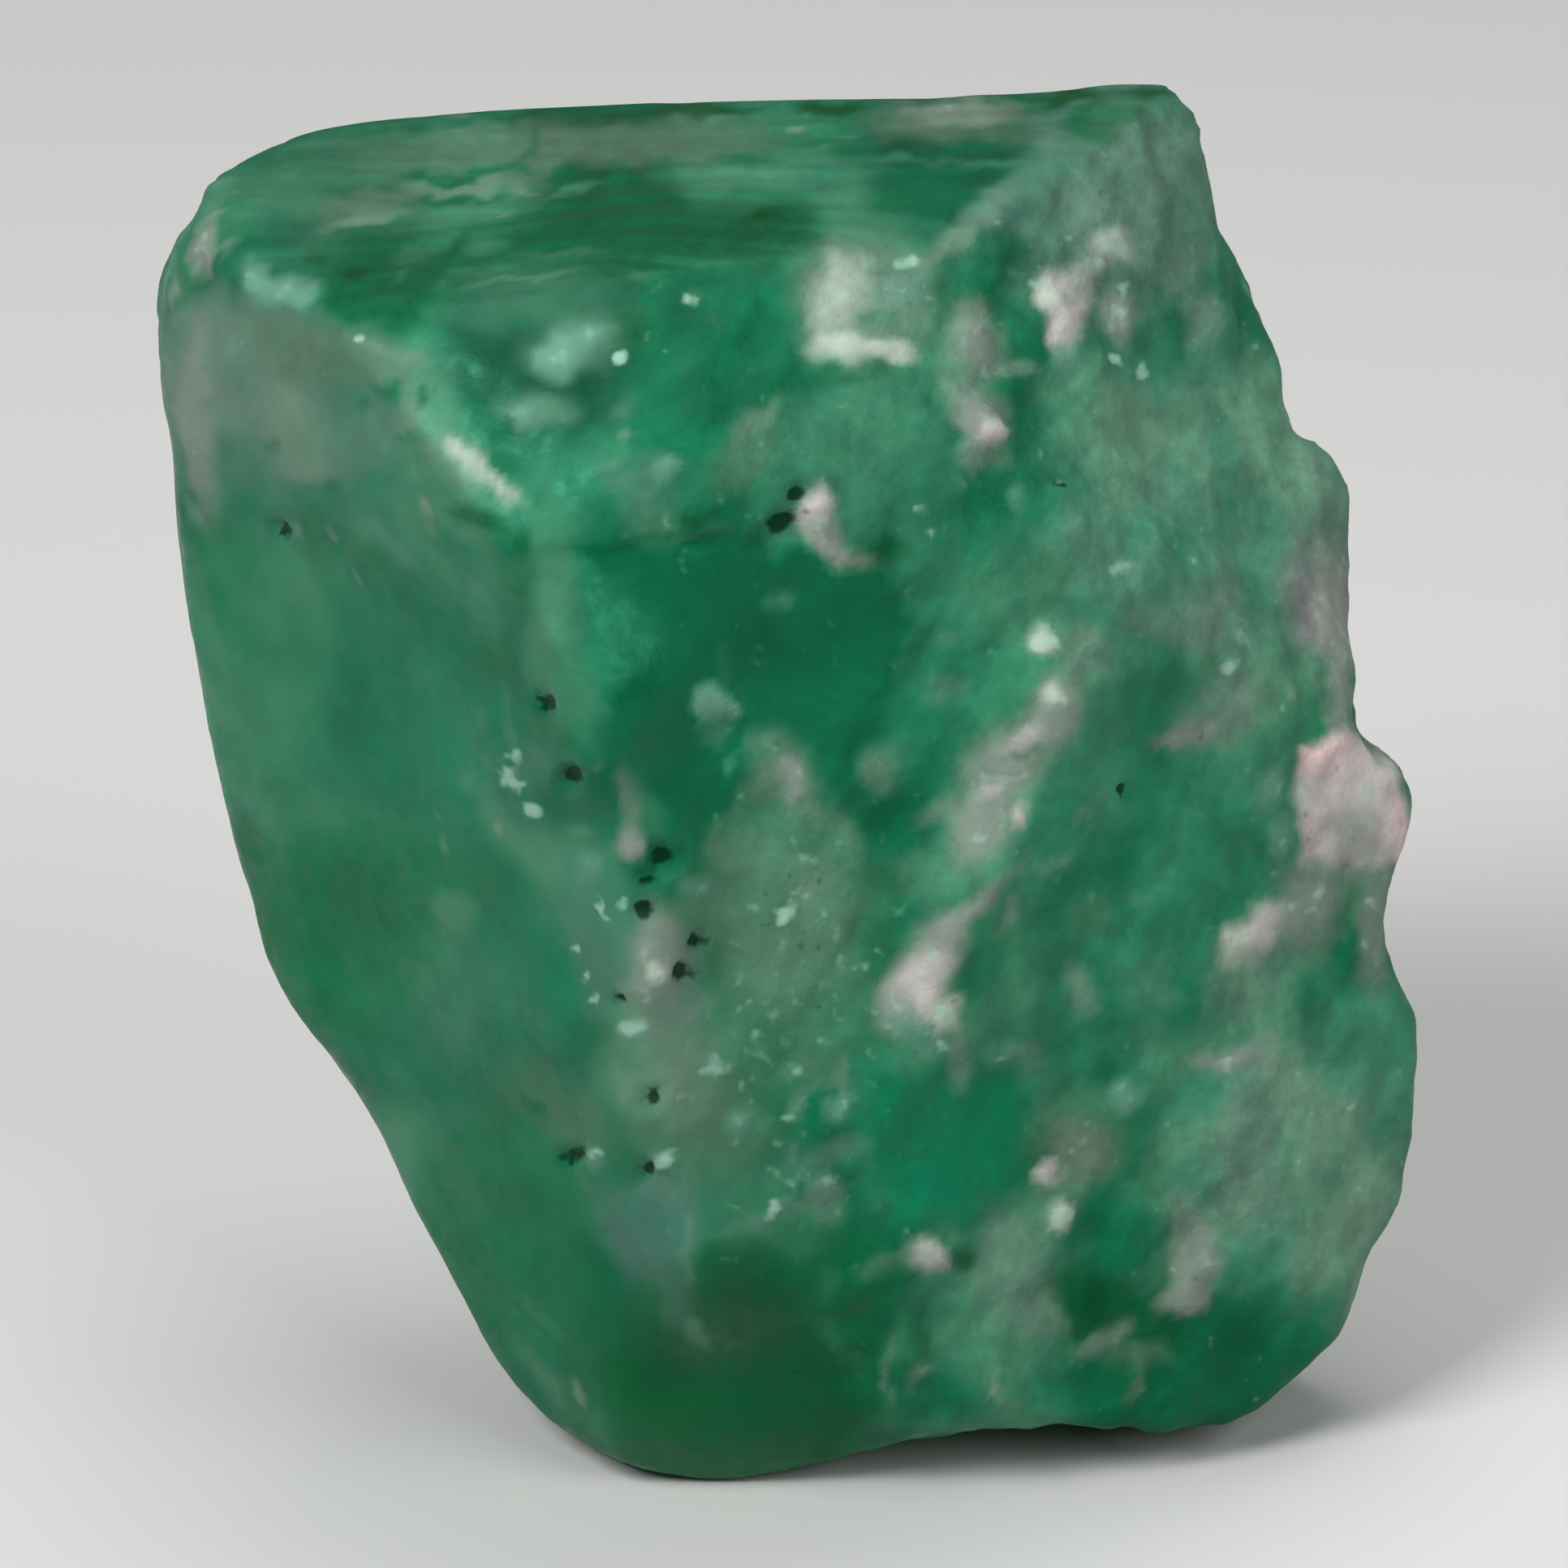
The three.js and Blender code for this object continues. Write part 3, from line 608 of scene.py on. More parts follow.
# Ovals: place, half length and half width in mm, turn in degrees, soft edge.
SPECKLED_MIDDLE = (at(930, 1300), (1.9, 3.6), -8, 0.8)
CRACK = (at(835, 672), (1.75, 0.1), 3, 0.9)
CRACK_DEPTH = 0.16  # mm
EVEN_WINDOW = (at(850, 790), (2.4, 1.6), -20, 0.25)
EVEN_HOLLOW = (at(1180, 1400), (1.1, 0.9), 0, 0.4)
EVEN_SHARE = 0.85  # of the roughness goes there

# Noise: strength, in mm where it moves or raises the surface, size of the features in mm, and seed.
NOISES = dict(
    rim=(0.15, 0.8, 5),
    warp_right=(0.14, 0.45, 3),
    warp_up=(0.14, 0.45, 4),
    fine_warp_right=(0.07, 0.24, 6),
    fine_warp_up=(0.07, 0.24, 7),
    ribs=(0.15, (0.9, 2.4, 2.4), 11),
    crests=(1, (0.5, 1.2, 1.2), 12),
    chips=(0.08, 0.8, 13),
    fine_chips=(0.015, 0.36, 14),
    swells=(0.03, 1.3, 15),
    fine_swells=(0.008, 0.3, 16),
    crack=(1, 0.5, 17),
    ledges=(0.5, (7, 2.2, 2.2), 21),
    fine_ledges=(0.12, (1.6, 0.5, 0.5), 22),
    growth_lines=(0.012, (3.0, 0.3, 0.3), 23),
    ledge_heights=(0.6, (3.0, 1.5, 1.5), 24),
    hidden_clouds=(1, 2.6, 41),
    fine_hidden_clouds=(0.5, 0.9, 42),
    wisps=(1, (0.55, 0.55, 1.3), 43),
    fine_wisps=(0.4, 0.35, 44),
    wisp_places=(1, 2.2, 45),
    streaks=(1, (1.5, 0.36, 0.36), 46),
    fine_streaks=(0.5, (0.8, 0.18, 0.18), 47),
    clouds=(1, (1.7, 3.0, 2.2), 48),
    fine_clouds=(0.6, (0.7, 1.2, 0.8), 49),
    streak_places=(1, (2.4, 1.1, 1.1), 50),
)
SEED_STEP = np.array([17.3, 5.1, 9.7])  # between two seeds' places in the noise
WARP_DEPTH = 0.3  # how fast the warp changes into the stone
CREST_HEIGHT = 0.04  # mm
CREST_SHARPNESS = 3
LEDGE_HEIGHT = 0.055  # mm
LEDGE_SHARE = 0.6  # of that on the whole
TOP_LEDGES = 1.25  # per mm, back along the top face
BACK_LEDGES = 1.1  # per mm, up the back
BACK_SEEDS = 10  # added to the seeds on the back
RIB_TURN = math.radians(28)  # how far the ribs lean from upright
RIDGE_RIGHT, RIDGE_LEAN = -2.0, -0.2  # the ridge: mm to the right, and how much more per mm up
BACK_AS_TOP = 0.25  # how much facing back counts as facing up

# Where each smooth rise starts and ends.
SHOWS = (-0.16, 0.12)  # of facing the camera; the noise rim makes it uneven
TOP_TILT = (0.82, 0.94)  # of facing up
TOP_HEIGHT = (15, 17)  # mm
BACK_TILT = (0.75, 0.95)  # of facing back
BROKEN_START = (-0.4, 1.4)  # mm to the right of the ridge
SHIFT_FADE = (0.3, 1.5)  # of the way out of a shifted stretch
LEDGE_FRONT = (0, 0.35)  # of the way from ledge to ledge
OFF_FLOOR = (0.05, 0.8)  # mm
CRACK_GAPS = (-0.3, 0.3)
HIDDEN_CLOUD = (-0.35, 0.5)
WISP = (0.3, 0.7)
WISP_PLACE = (-0.1, 0.4)
STREAK_PLACE = (-0.5, 0.4)
CLOUDLESS = (0.45, 0.75)  # of clearness
UNMOTTLED = (0.5, 0.8)  # of clearness
FLECKED = (0.1, 0.3)  # of the flecks' share

# Colours.
PIT_GREEN = linear(0, 26, 10)
# the pale flecks' colour, also painted on the glints
FLECK_AND_GLINT_GREEN = linear(138, 170, 154)
HIDDEN_GREEN = linear(66, 132, 102)
HIDDEN_DEEP = linear(10, 104, 70)
HIDDEN_WISP = linear(120, 152, 134)
HIDDEN_CLEAR = 0.4
HIDDEN_WEIGHT = 0.01  # against a zone's 1
ZONE_FALL = 2.8  # how fast a zone's weight falls
STREAK_CONTRAST = np.array([0.75, 0.24, 0.3])  # of red, green and blue
CLOUD_CONTRAST = np.array([0.9, 0.26, 0.36])
CONTRAST_LIMITS = (0.05, 3)
CLEAR_GAIN = (0.9, 0.6, 0.62)  # times the colour: by clearness squared, by clearness, and always

# How likely a point is to be in a fleck or a painted glint, or in a gap.
ROUGH_SHARE = 0.1
SPECKLED_FLECKS, SPECKLED_GAPS = 0.15, 0.1
MARK_FLECKS, MARK_FLECK_EDGE = 0.22, 0.7
GLINT_SHARE = 0.74
PIT_SHARE = 0.95

# The material. The textures have their scale per metre, detail and roughness.
FINE_TEXTURE = (4200, 3, 0.55)
MEDIUM_TEXTURE = (2200, 4, 0.6)
GRIT_TEXTURE = (14000, 2, 0.5)
BREAK_TEXTURE = (3600, 1.5, 0.5)
BREAK_STRENGTH = 1.3
DEPTH_STRETCH = 2.2  # of the textures, into the stone
RIB_STRETCH = 1.4  # of the medium one, along the ribs
TEXTURE_SPAN = (0.3, 0.7)  # where most of a texture's values are
MEDIUM_MOTTLE, FINE_MOTTLE = (0.78, 1.26), (0.9, 1.1)  # times the colour
EVEN_MOTTLE, ROUGH_MOTTLE = 0.3, 0.45  # how much of it shows, and how much more where broken
EVEN_FROST, ROUGH_FROST, CLEAR_FROST = 0.35, 0.45, 0.5
FLECK_RANGE = (0.3, 0.85, 0, 0.8)  # a share from and to, and what it becomes
GAP_RANGE = (0.3, 0.75, 0, 0.9)
GLOSS_RANGE = (0.2, 0.8, 0.18, 0.4)  # the same for the fine texture
FROST_ROUGHNESS = 0.45
FINE_BUMP, GRIT_BUMP = 0.6, 0.25  # shares of BUMP_HEIGHT
BUMP_HEIGHT = 0.04  # mm
VOLUME_COLOUR = (0.0, 0.9, 0.79, 1)
VOLUME_DENSITY = 380  # per metre
REFRACTION = 1.58

# The studio: each lamp's place in mm, side in mm and power in watts.
LAMPS = {
    "key": ((-130, -150, 190), 110, 0.8),
    "fill": ((170, -190, 170), 160, 0.5),
    "overhead": ((20, 60, 260), 160, 0.38),
}
LAMP_AIM = (0, 0, 10)  # mm
FLOOR_HALF = 2.0  # m


def smooth(x, low, high):
    """0 below low and 1 above high, with a smooth rise between them."""
    t = np.clip((x - low) / (high - low), 0, 1)
    return t * t * (3 - 2 * t)


def grain(points, name, seed_shift=0):
    """The named noise at each point."""
    strength, size, seed = NOISES[name]
    places = points / np.array(size) + SEED_STEP * (seed + seed_shift)
    return strength * np.array([noise.noise(Vector(p)) for p in places])


class Front:
    """Where each point of the stone's surface shows in the photograph."""

    def __init__(self, points, normals):
        aside = points - MIDDLE
        self.behind = aside @ W_AXIS
        shrink = DISTANCE / (DISTANCE + self.behind - AIM[2])
        self.right = (aside @ U_AXIS - AIM[0]) * shrink
        self.up = (aside @ V_AXIS - AIM[1]) * shrink
        self.facing = smooth(-(normals @ W_AXIS) + grain(points, "rim"), *SHOWS)
        warp = np.column_stack([self.right, self.up, self.behind * WARP_DEPTH])
        self.warped_right = self.right + grain(warp, "warp_right") + grain(warp, "fine_warp_right")
        self.warped_up = self.up + grain(warp, "warp_up") + grain(warp, "fine_warp_up")

    def distance(self, place, half, turn=0, warped=True):
        """How far each point is from an oval's middle, as a share of its size."""
        right = (self.warped_right if warped else self.right) - place[0]
        up = (self.warped_up if warped else self.up) - place[1]
        angle = math.radians(turn)
        along = right * math.cos(angle) + up * math.sin(angle)
        across = up * math.cos(angle) - right * math.sin(angle)
        return np.hypot(along / half[0], across / half[1])

    def oval(self, place, half, turn, edge, warped=True):
        """1 inside an oval and 0 outside it, with a soft edge, on the side that shows."""
        inside = 1 - smooth(self.distance(place, half, turn, warped), 1 - edge, 1 + edge)
        return inside * self.facing

    def mark(self, mark, spread=(1, 1), edge=MARK_EDGE):
        """How strongly a mark lies on each point, with the mark laid this much longer and wider."""
        half = (mark.half_length * spread[0], mark.half_width * spread[1])
        return mark.strength / 100 * self.oval(at(mark.px, mark.py), half, mark.turn, edge)

    def spots(self, table, stretch, edge):
        """1 on a table's spots and 0 between them, with each spot stretched along and across."""
        ovals = [
            self.oval(at(px, py), (radius * stretch[0], radius * stretch[1]), SPOT_TURN, edge, warped=False)
            for px, py, radius in table.values()
        ]
        return np.max(ovals, axis=0)

    def facet(self, corners, edge):
        """1 inside a convex facet and 0 outside it, with a soft edge, on the side that shows."""
        middle = np.mean(corners, axis=0)
        inside = np.full(len(self.right), np.inf)
        for start, end in zip(corners, corners[1:] + corners[:1]):
            along = np.subtract(end, start)
            across = np.array([-along[1], along[0]]) / np.hypot(*along)
            side = np.sign(across @ (middle - start))
            reach = (self.warped_right - start[0]) * across[0] + (self.warped_up - start[1]) * across[1]
            inside = np.minimum(inside, side * reach)
        return smooth(inside, -edge, edge) * self.facing


def fine_surface(cad):
    """The CAD stone as an even mesh of fine quads, in mm."""
    bm = bmesh.new()
    bm.from_mesh(cad.data)
    bmesh.ops.remove_doubles(bm, verts=bm.verts, dist=WELD)
    bmesh.ops.scale(bm, vec=(1 / MM,) * 3, verts=bm.verts)
    coarse = bpy.data.meshes.new("coarse")
    bm.to_mesh(coarse)
    bm.free()
    holder = bpy.data.objects.new("coarse", coarse)
    bpy.context.scene.collection.objects.link(holder)
    remesh = holder.modifiers.new("even", "REMESH")
    remesh.mode = "VOXEL"
    remesh.voxel_size = VOXEL
    evaluated = holder.evaluated_get(bpy.context.evaluated_depsgraph_get())
    fine = bpy.data.meshes.new_from_object(evaluated)
    bpy.data.objects.remove(holder)
    bpy.data.meshes.remove(coarse)
    return fine


def three_per_vertex(collection, name):
    """A mesh's three numbers for each vertex, such as its place or its normal."""
    flat = np.zeros(len(collection) * 3, np.float32)
    collection.foreach_get(name, flat)
    return flat.reshape(-1, 3).astype(float)


def place_vertices(mesh, points):
    mesh.vertices.foreach_set("co", points.astype(np.float32).ravel())
    mesh.update()


def evened(points, edges):
    """The points after each has moved towards the middle of its neighbours and back, several times."""
    count = np.bincount(edges.ravel(), minlength=len(points))[:, None]
    for factor in EVENING_STEPS * EVENING_ROUNDS:
        total = np.zeros_like(points)
        for axis in range(3):
            total[:, axis] += np.bincount(edges[:, 0], points[edges[:, 1], axis], len(points))
            total[:, axis] += np.bincount(edges[:, 1], points[edges[:, 0], axis], len(points))
        points = points + factor * (total / count - points)
    return points


def top_face(points, normals):
    """How much each point belongs to the top prism face or the upper back one."""
    facing_up = normals[:, 2] + BACK_AS_TOP * normals[:, 1]
    return smooth(facing_up, *TOP_TILT) * smooth(points[:, 2], *TOP_HEIGHT)


def back_prism(normals):
    """How much each point belongs to the prism faces behind."""
    return smooth(normals[:, 1], *BACK_TILT)


def broken(front):
    """How much each point belongs to the broken front and right, which start at the ridge."""
    ridge = RIDGE_RIGHT + RIDGE_LEAN * front.up
    return smooth(front.right - ridge, *BROKEN_START)


def growth_relief(points, level, seed_shift=0):
    """Low ledges along X where the level passes whole numbers, broken here and there, and fine lines."""
    wander = grain(points, "ledges", seed_shift) + grain(points, "fine_ledges", seed_shift)
    step = level + wander
    share = step - np.floor(step)
    ledge = smooth(share, *LEDGE_FRONT) - share
    here = LEDGE_SHARE + grain(points, "ledge_heights", seed_shift)
    return LEDGE_HEIGHT * here * ledge + grain(points, "growth_lines", seed_shift)


def relief(points, normals, front):
    """How far each point stands out, in mm: the ribs, chips, growth lines, flakes and pits."""
    top = top_face(points, normals)
    back = back_prism(normals)
    rough = broken(front) * (1 - top) * (1 - back)
    even = front.oval(*EVEN_WINDOW) + front.oval(*EVEN_HOLLOW)
    rough *= 1 - EVEN_SHARE * np.clip(even, 0, 1)
    along = front.right * math.sin(RIB_TURN) + front.up * math.cos(RIB_TURN)
    across = front.up * math.sin(RIB_TURN) - front.right * math.cos(RIB_TURN)
    slanted = np.column_stack([across, along, front.behind])
    crests = (1 - np.abs(grain(slanted, "crests"))) ** CREST_SHARPNESS
    ribs = grain(slanted, "ribs") + CREST_HEIGHT * crests
    chips = grain(points, "chips") + grain(points, "fine_chips")
    out = rough * (ribs + chips)
    out += (1 - rough) * (1 - top) * (grain(points, "swells") + grain(points, "fine_swells"))
    out += top * growth_relief(points, points[:, 1] * TOP_LEDGES)
    out += back * growth_relief(points, points[:, 2] * BACK_LEDGES, BACK_SEEDS)
    for mark in MARKS:
        if mark.tint in STANDING_TINTS:
            out += FLAKE_HEIGHT * front.mark(mark)
    for place, half, shift in EDGE_SHIFTS.values():
        out += shift * (1 - smooth(front.distance(place, half), *SHIFT_FADE))
    for px, py, radius in PITS.values():
        half = (radius * HOLLOW_STRETCH[0], radius * HOLLOW_STRETCH[1])
        out -= HOLLOW_DEPTH * radius * front.oval(at(px, py), half, HOLLOW_TURN, MARK_EDGE)
    out -= CRACK_DEPTH * front.oval(*CRACK) * smooth(grain(points, "crack"), *CRACK_GAPS)
    return out


def hidden_colour(points):
    """The body's colour on the sides that the photograph doesn't show: deep green with paler clouds."""
    clouds = smooth(grain(points, "hidden_clouds") + grain(points, "fine_hidden_clouds"), *HIDDEN_CLOUD)
    colour = HIDDEN_DEEP + clouds[:, None] * (HIDDEN_GREEN - HIDDEN_DEEP)
    wisps = smooth(grain(points, "wisps") + grain(points, "fine_wisps"), *WISP)
    wisps *= smooth(grain(points, "wisp_places"), *WISP_PLACE)
    return colour + wisps[:, None] * (HIDDEN_WISP - colour)


def blend_zones(front, points):
    """The body's colour and clearness at each point: the zones blended, with the facets over them."""
    weights = np.full(len(points), HIDDEN_WEIGHT)
    colour = weights[:, None] * hidden_colour(points)
    clear = weights * HIDDEN_CLEAR
    for place, radius, screen_colour, clearness in ZONES.values():
        reach = front.distance(place, (radius, radius))
        weight = np.exp(-ZONE_FALL * reach**2) * front.facing
        weights = weights + weight
        colour = colour + weight[:, None] * linear(*screen_colour)
        clear = clear + weight * clearness
    colour /= weights[:, None]
    clear /= weights
    for corners, edge, screen_colour, clearness in FACETS.values():
        here = front.facet([at(px, py) for px, py in corners], edge)
        colour += here[:, None] * (linear(*screen_colour) - colour)
        clear += here * (clearness - clear)
    return colour, clear


def lay_marks(front, colour, clear):
    """The colour and clearness with the marks laid over them."""
    for mark in MARKS:
        here = front.mark(mark, PALE_SPREAD if mark.tint in STANDING_TINTS else MARK_SPREAD)
        colour = colour + here[:, None] * (linear(*mark.tint) - colour)
        if mark.tint not in DARK_TINTS:
            clear = clear * (1 - here)
    return colour, clear


def fleck_share(front, rough):
    """How likely each point is to be part of a bright fleck or a painted glint; the material's noise
    decides.
    """
    standing = [mark for mark in MARKS if mark.tint in STANDING_TINTS]
    near_marks = np.max([front.mark(mark, edge=MARK_FLECK_EDGE) for mark in standing], axis=0)
    # the painted glints
    specks = front.spots(PAINTED_GLINTS, GLINT_STRETCH, GLINT_EDGE)
    speckled = front.oval(*SPECKLED_MIDDLE)
    loose = ROUGH_SHARE * rough + SPECKLED_FLECKS * speckled + MARK_FLECKS * near_marks
    return np.maximum(loose, GLINT_SHARE * specks)


def gap_share(front, rough):
    """How likely each point is to be part of a dark gap; the material's noise decides."""
    pits = front.spots(PITS, PIT_STRETCH, PIT_EDGE)
    loose = ROUGH_SHARE * rough + SPECKLED_GAPS * front.oval(*SPECKLED_MIDDLE)
    return np.maximum(loose, PIT_SHARE * pits)


def add_value(mesh, name, values):
    mesh.attributes.new(name, "FLOAT", "POINT").data.foreach_set("value", values.astype(np.float32))


def add_colour(mesh, name, colours):
    attribute = mesh.attributes.new(name, "FLOAT_VECTOR", "POINT")
    attribute.data.foreach_set("vector", colours.astype(np.float32).ravel())


def paint(mesh, points, normals, front):
    """Writes what the material reads at each point."""
    colour, clear = blend_zones(front, points)
    top = top_face(points, normals)
    streaks = grain(points, "streaks") + grain(points, "fine_streaks")
    streaks *= smooth(grain(points, "streak_places"), *STREAK_PLACE)
    colour *= np.clip(1 + (top * streaks)[:, None] * STREAK_CONTRAST, *CONTRAST_LIMITS)
    clouds = grain(points, "clouds") + grain(points, "fine_clouds")
    clouds *= 1 - smooth(clear, *CLOUDLESS)
    colour *= np.clip(1 + clouds[:, None] * CLOUD_CONTRAST, *CONTRAST_LIMITS)
    colour, clear = lay_marks(front, colour, clear)
    colour *= np.polyval(CLEAR_GAIN, clear)[:, None]
    rough = broken(front) * (1 - top)
    flecks = fleck_share(front, rough)
    mottle = rough * (1 - smooth(clear, *UNMOTTLED)) * (1 - smooth(flecks, *FLECKED))
    frost = EVEN_FROST + ROUGH_FROST * rough - CLEAR_FROST * (clear - HIDDEN_CLEAR)
    add_colour(mesh, "body_colour", colour)
    add_value(mesh, "clear", clear)
    add_value(mesh, "flecks", flecks)
    add_value(mesh, "gaps", gap_share(front, rough))
    add_value(mesh, "mottled", EVEN_MOTTLE + ROUGH_MOTTLE * mottle)
    add_value(mesh, "frost", np.clip(frost, 0, 1))


class Nodes:
    """A short way to add nodes to a material."""

    def __init__(self, material):
        material.use_nodes = True
        self.tree = material.node_tree
        self.tree.nodes.clear()

    def feed(self, node, inputs):
        """Links each input to a socket, or sets it to a value."""
        for name, value in inputs.items():
            if isinstance(value, bpy.types.NodeSocket):
                self.tree.links.new(value, node.inputs[name])
            else:
                node.inputs[name].default_value = value

    def add(self, kind, inputs, **settings):
        node = self.tree.nodes.new(kind)
        for name, value in settings.items():
            setattr(node, name, value)
        self.feed(node, inputs)
        return node

    def attribute(self, name, output="Fac"):
        return self.add("ShaderNodeAttribute", {}, attribute_name=name).outputs[output]

    def math(self, operation, a, b, clamp=False):
        return self.add("ShaderNodeMath", {0: a, 1: b}, operation=operation, use_clamp=clamp).outputs[0]

    def noise(self, place, scale, detail, roughness):
        inputs = {"Vector": place, "Scale": scale, "Detail": detail, "Roughness": roughness}
        return self.add("ShaderNodeTexNoise", inputs).outputs["Fac"]

    def mapping(self, place, turn, stretch):
        inputs = {"Vector": place, "Rotation": turn, "Scale": stretch}
        return self.add("ShaderNodeMapping", inputs, vector_type="TEXTURE").outputs["Vector"]

    def range(self, value, low, high, to_low, to_high):
        inputs = {"Value": value, "From Min": low, "From Max": high, "To Min": to_low, "To Max": to_high}
        return self.add("ShaderNodeMapRange", inputs, interpolation_type="SMOOTHSTEP").outputs["Result"]

    def mix(self, share, a, b, blend_type="MIX"):
        inputs = {0: share, 6: a, 7: b}  # the share, and the two colours
        return self.add("ShaderNodeMix", inputs, data_type="RGBA", blend_type=blend_type).outputs[2]


def emerald_material():
    """One see-through green, which clouds, frosts and pales as the mesh's attributes say."""
    material = bpy.data.materials.new("emerald")
    nodes = Nodes(material)
    place = nodes.add("ShaderNodeTexCoord", {}).outputs["Object"]
    # Across the view, up the leaning plane and, slower, into the stone; then the same along the ribs.
    upright = nodes.mapping(place, (-LEAN, 0, 0), (1, DEPTH_STRETCH, 1))
    ribs = Matrix.Rotation(-LEAN, 3, "X") @ Matrix.Rotation(RIB_TURN, 3, "Y")
    along_ribs = nodes.mapping(place, ribs.to_euler(), (1, DEPTH_STRETCH, RIB_STRETCH))
    fine = nodes.noise(upright, *FINE_TEXTURE)
    medium = nodes.noise(along_ribs, *MEDIUM_TEXTURE)
    grit = nodes.noise(place, *GRIT_TEXTURE)
    breaks = nodes.math("SUBTRACT", nodes.noise(upright, *BREAK_TEXTURE), 0.5)
    breaks = nodes.math("MULTIPLY", breaks, BREAK_STRENGTH)

    medium_mottle = nodes.range(medium, *TEXTURE_SPAN, *MEDIUM_MOTTLE)
    fine_mottle = nodes.range(fine, *TEXTURE_SPAN, *FINE_MOTTLE)
    body = nodes.attribute("body_colour", "Color")
    mottled = nodes.mix(1.0, body, nodes.math("MULTIPLY", medium_mottle, fine_mottle), "MULTIPLY")
    colour = nodes.mix(nodes.attribute("mottled"), body, mottled)
    # the flecks attribute holds the pale flecks and the painted glints
    fleck = nodes.range(nodes.math("ADD", nodes.attribute("flecks"), breaks), *FLECK_RANGE)
    gap = nodes.range(nodes.math("SUBTRACT", nodes.attribute("gaps"), breaks), *GAP_RANGE)
    colour = nodes.mix(fleck, colour, (*FLECK_AND_GLINT_GREEN, 1))
    colour = nodes.mix(gap, colour, (*PIT_GREEN, 1))
    clear = nodes.math("SUBTRACT", nodes.attribute("clear"), nodes.math("ADD", fleck, gap), clamp=True)

    frost = nodes.attribute("frost")
    frosted = nodes.math("MULTIPLY", frost, FROST_ROUGHNESS)
    roughness = nodes.math("ADD", frosted, nodes.range(fine, *GLOSS_RANGE))
    grit_height = nodes.math("MULTIPLY", grit, GRIT_BUMP)
    height = nodes.math("ADD", nodes.math("MULTIPLY", fine, FINE_BUMP), grit_height)
    bump = nodes.add("ShaderNodeBump", {"Strength": frost, "Distance": BUMP_HEIGHT * MM, "Height": height})
    shader = nodes.add(
        "ShaderNodeBsdfPrincipled",
        {
            "Base Color": colour,
            "Roughness": roughness,
            "IOR": REFRACTION,
            "Specular IOR Level": 0.1,
            "Specular Tint": (0.15, 0.8, 0.5, 1),
            "Transmission Weight": clear,
            "Normal": bump.outputs["Normal"],
        },
    )
    volume = {"Color": VOLUME_COLOUR, "Density": VOLUME_DENSITY}
    absorption = nodes.add("ShaderNodeVolumeAbsorption", volume)
    nodes.add("ShaderNodeOutputMaterial", {"Surface": shader.outputs[0], "Volume": absorption.outputs[0]})
    return material


def make_stone(cad):
    """The fine stone, which stands for the CAD one."""
    mesh = fine_surface(cad)
    mesh.name = "rough_emerald"
    lowest, highest = (np.array(corner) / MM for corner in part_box("emerald"))
    edges = np.zeros(len(mesh.edges) * 2, np.int32)
    mesh.edges.foreach_get("vertices", edges)
    points = evened(three_per_vertex(mesh.vertices, "co"), edges.reshape(-1, 2))
    place_vertices(mesh, points)
    normals = three_per_vertex(mesh.vertex_normals, "vector")
    front = Front(points, normals)
    off_floor = smooth(points[:, 2], *OFF_FLOOR)
    points = points + normals * (off_floor * relief(points, normals, front))[:, None]
    points = np.clip(points, lowest, highest)
    place_vertices(mesh, points)
    paint(mesh, points, normals, front)
    mesh.transform(Matrix.Scale(MM, 4))
    mesh.polygons.foreach_set("use_smooth", [True] * len(mesh.polygons))
    mesh.materials.clear()
    mesh.materials.append(emerald_material())
    stone = bpy.data.objects.new("rough_emerald", mesh)
    bpy.context.scene.collection.objects.link(stone)
    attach(stone, "root")
    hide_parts("emerald")


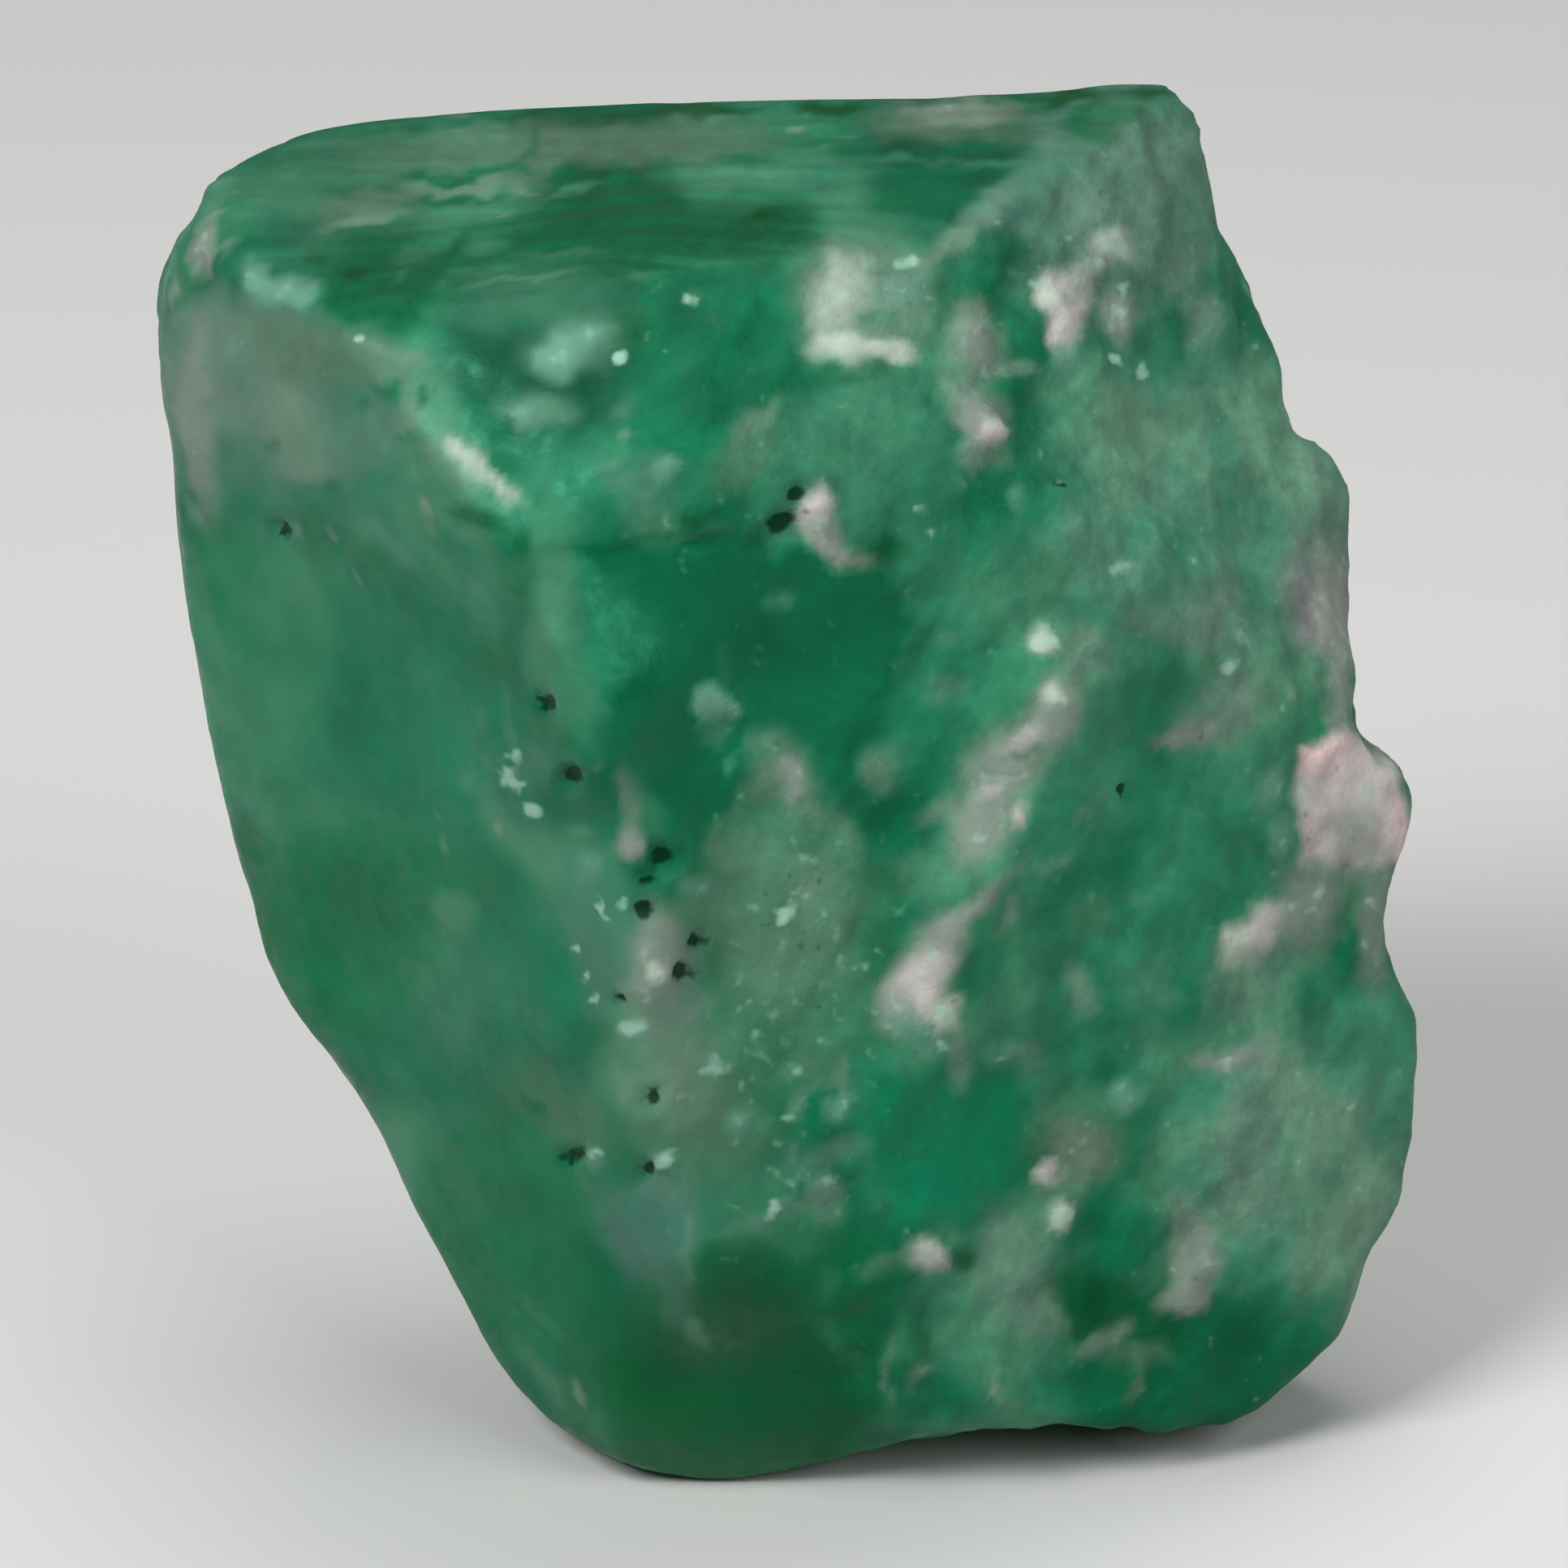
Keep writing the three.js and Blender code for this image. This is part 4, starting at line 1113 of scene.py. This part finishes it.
def make_floor():
    mesh = bpy.data.meshes.new("floor")
    half = FLOOR_HALF
    corners = [(-half, -half, 0), (half, -half, 0), (half, half, 0), (-half, half, 0)]
    mesh.from_pydata(corners, [], [(0, 1, 2, 3)])
    material = bpy.data.materials.new("floor")
    nodes = Nodes(material)
    shader = nodes.add("ShaderNodeBsdfPrincipled", {"Base Color": (0.5, 0.5, 0.49, 1), "Roughness": 0.8})
    nodes.add("ShaderNodeOutputMaterial", {"Surface": shader.outputs[0]})
    mesh.materials.append(material)
    floor = bpy.data.objects.new("floor", mesh)
    bpy.context.scene.collection.objects.link(floor)


def add_lamp(name, place, side, power):
    """A square soft lamp that points at the stone's middle."""
    light = bpy.data.lights.new(name, "AREA")
    light.size = side * MM
    light.energy = power
    lamp = bpy.data.objects.new(name, light)
    lamp.location = Vector(place) * MM
    towards = Vector(LAMP_AIM) - Vector(place)
    lamp.rotation_euler = towards.to_track_quat("-Z", "Y").to_euler()
    bpy.context.scene.collection.objects.link(lamp)


def make_light():
    for name, (place, side, power) in LAMPS.items():
        add_lamp(name, place, side, power)
    world = bpy.data.worlds.new("studio")
    bpy.context.scene.world = world
    world.use_nodes = True
    background = world.node_tree.nodes["Background"]
    background.inputs["Color"].default_value = (0.9, 0.95, 0.93, 1)
    background.inputs["Strength"].default_value = 0.12


def make_camera():
    data = bpy.data.cameras.new("camera")
    data.lens = LENS
    data.sensor_width = SENSOR
    data.clip_start, data.clip_end = CLIP
    camera = bpy.data.objects.new("camera", data)
    aim = MIDDLE + AIM[0] * U_AXIS + AIM[1] * V_AXIS + AIM[2] * W_AXIS
    camera.location = Vector(aim - W_AXIS * DISTANCE) * MM
    camera.rotation_euler = Vector(W_AXIS).to_track_quat("-Z", "Y").to_euler()
    bpy.context.scene.collection.objects.link(camera)
    bpy.context.scene.camera = camera


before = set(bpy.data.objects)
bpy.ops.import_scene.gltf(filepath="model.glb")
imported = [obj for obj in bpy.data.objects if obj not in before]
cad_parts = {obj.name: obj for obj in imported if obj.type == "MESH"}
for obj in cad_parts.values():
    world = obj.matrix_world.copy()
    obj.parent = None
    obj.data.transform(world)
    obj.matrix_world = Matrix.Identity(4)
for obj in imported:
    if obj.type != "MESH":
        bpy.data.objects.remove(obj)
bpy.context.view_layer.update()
make_camera()
make_light()
make_floor()
make_stone(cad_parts["emerald"])
bpy.context.scene.view_settings.view_transform = "Standard"
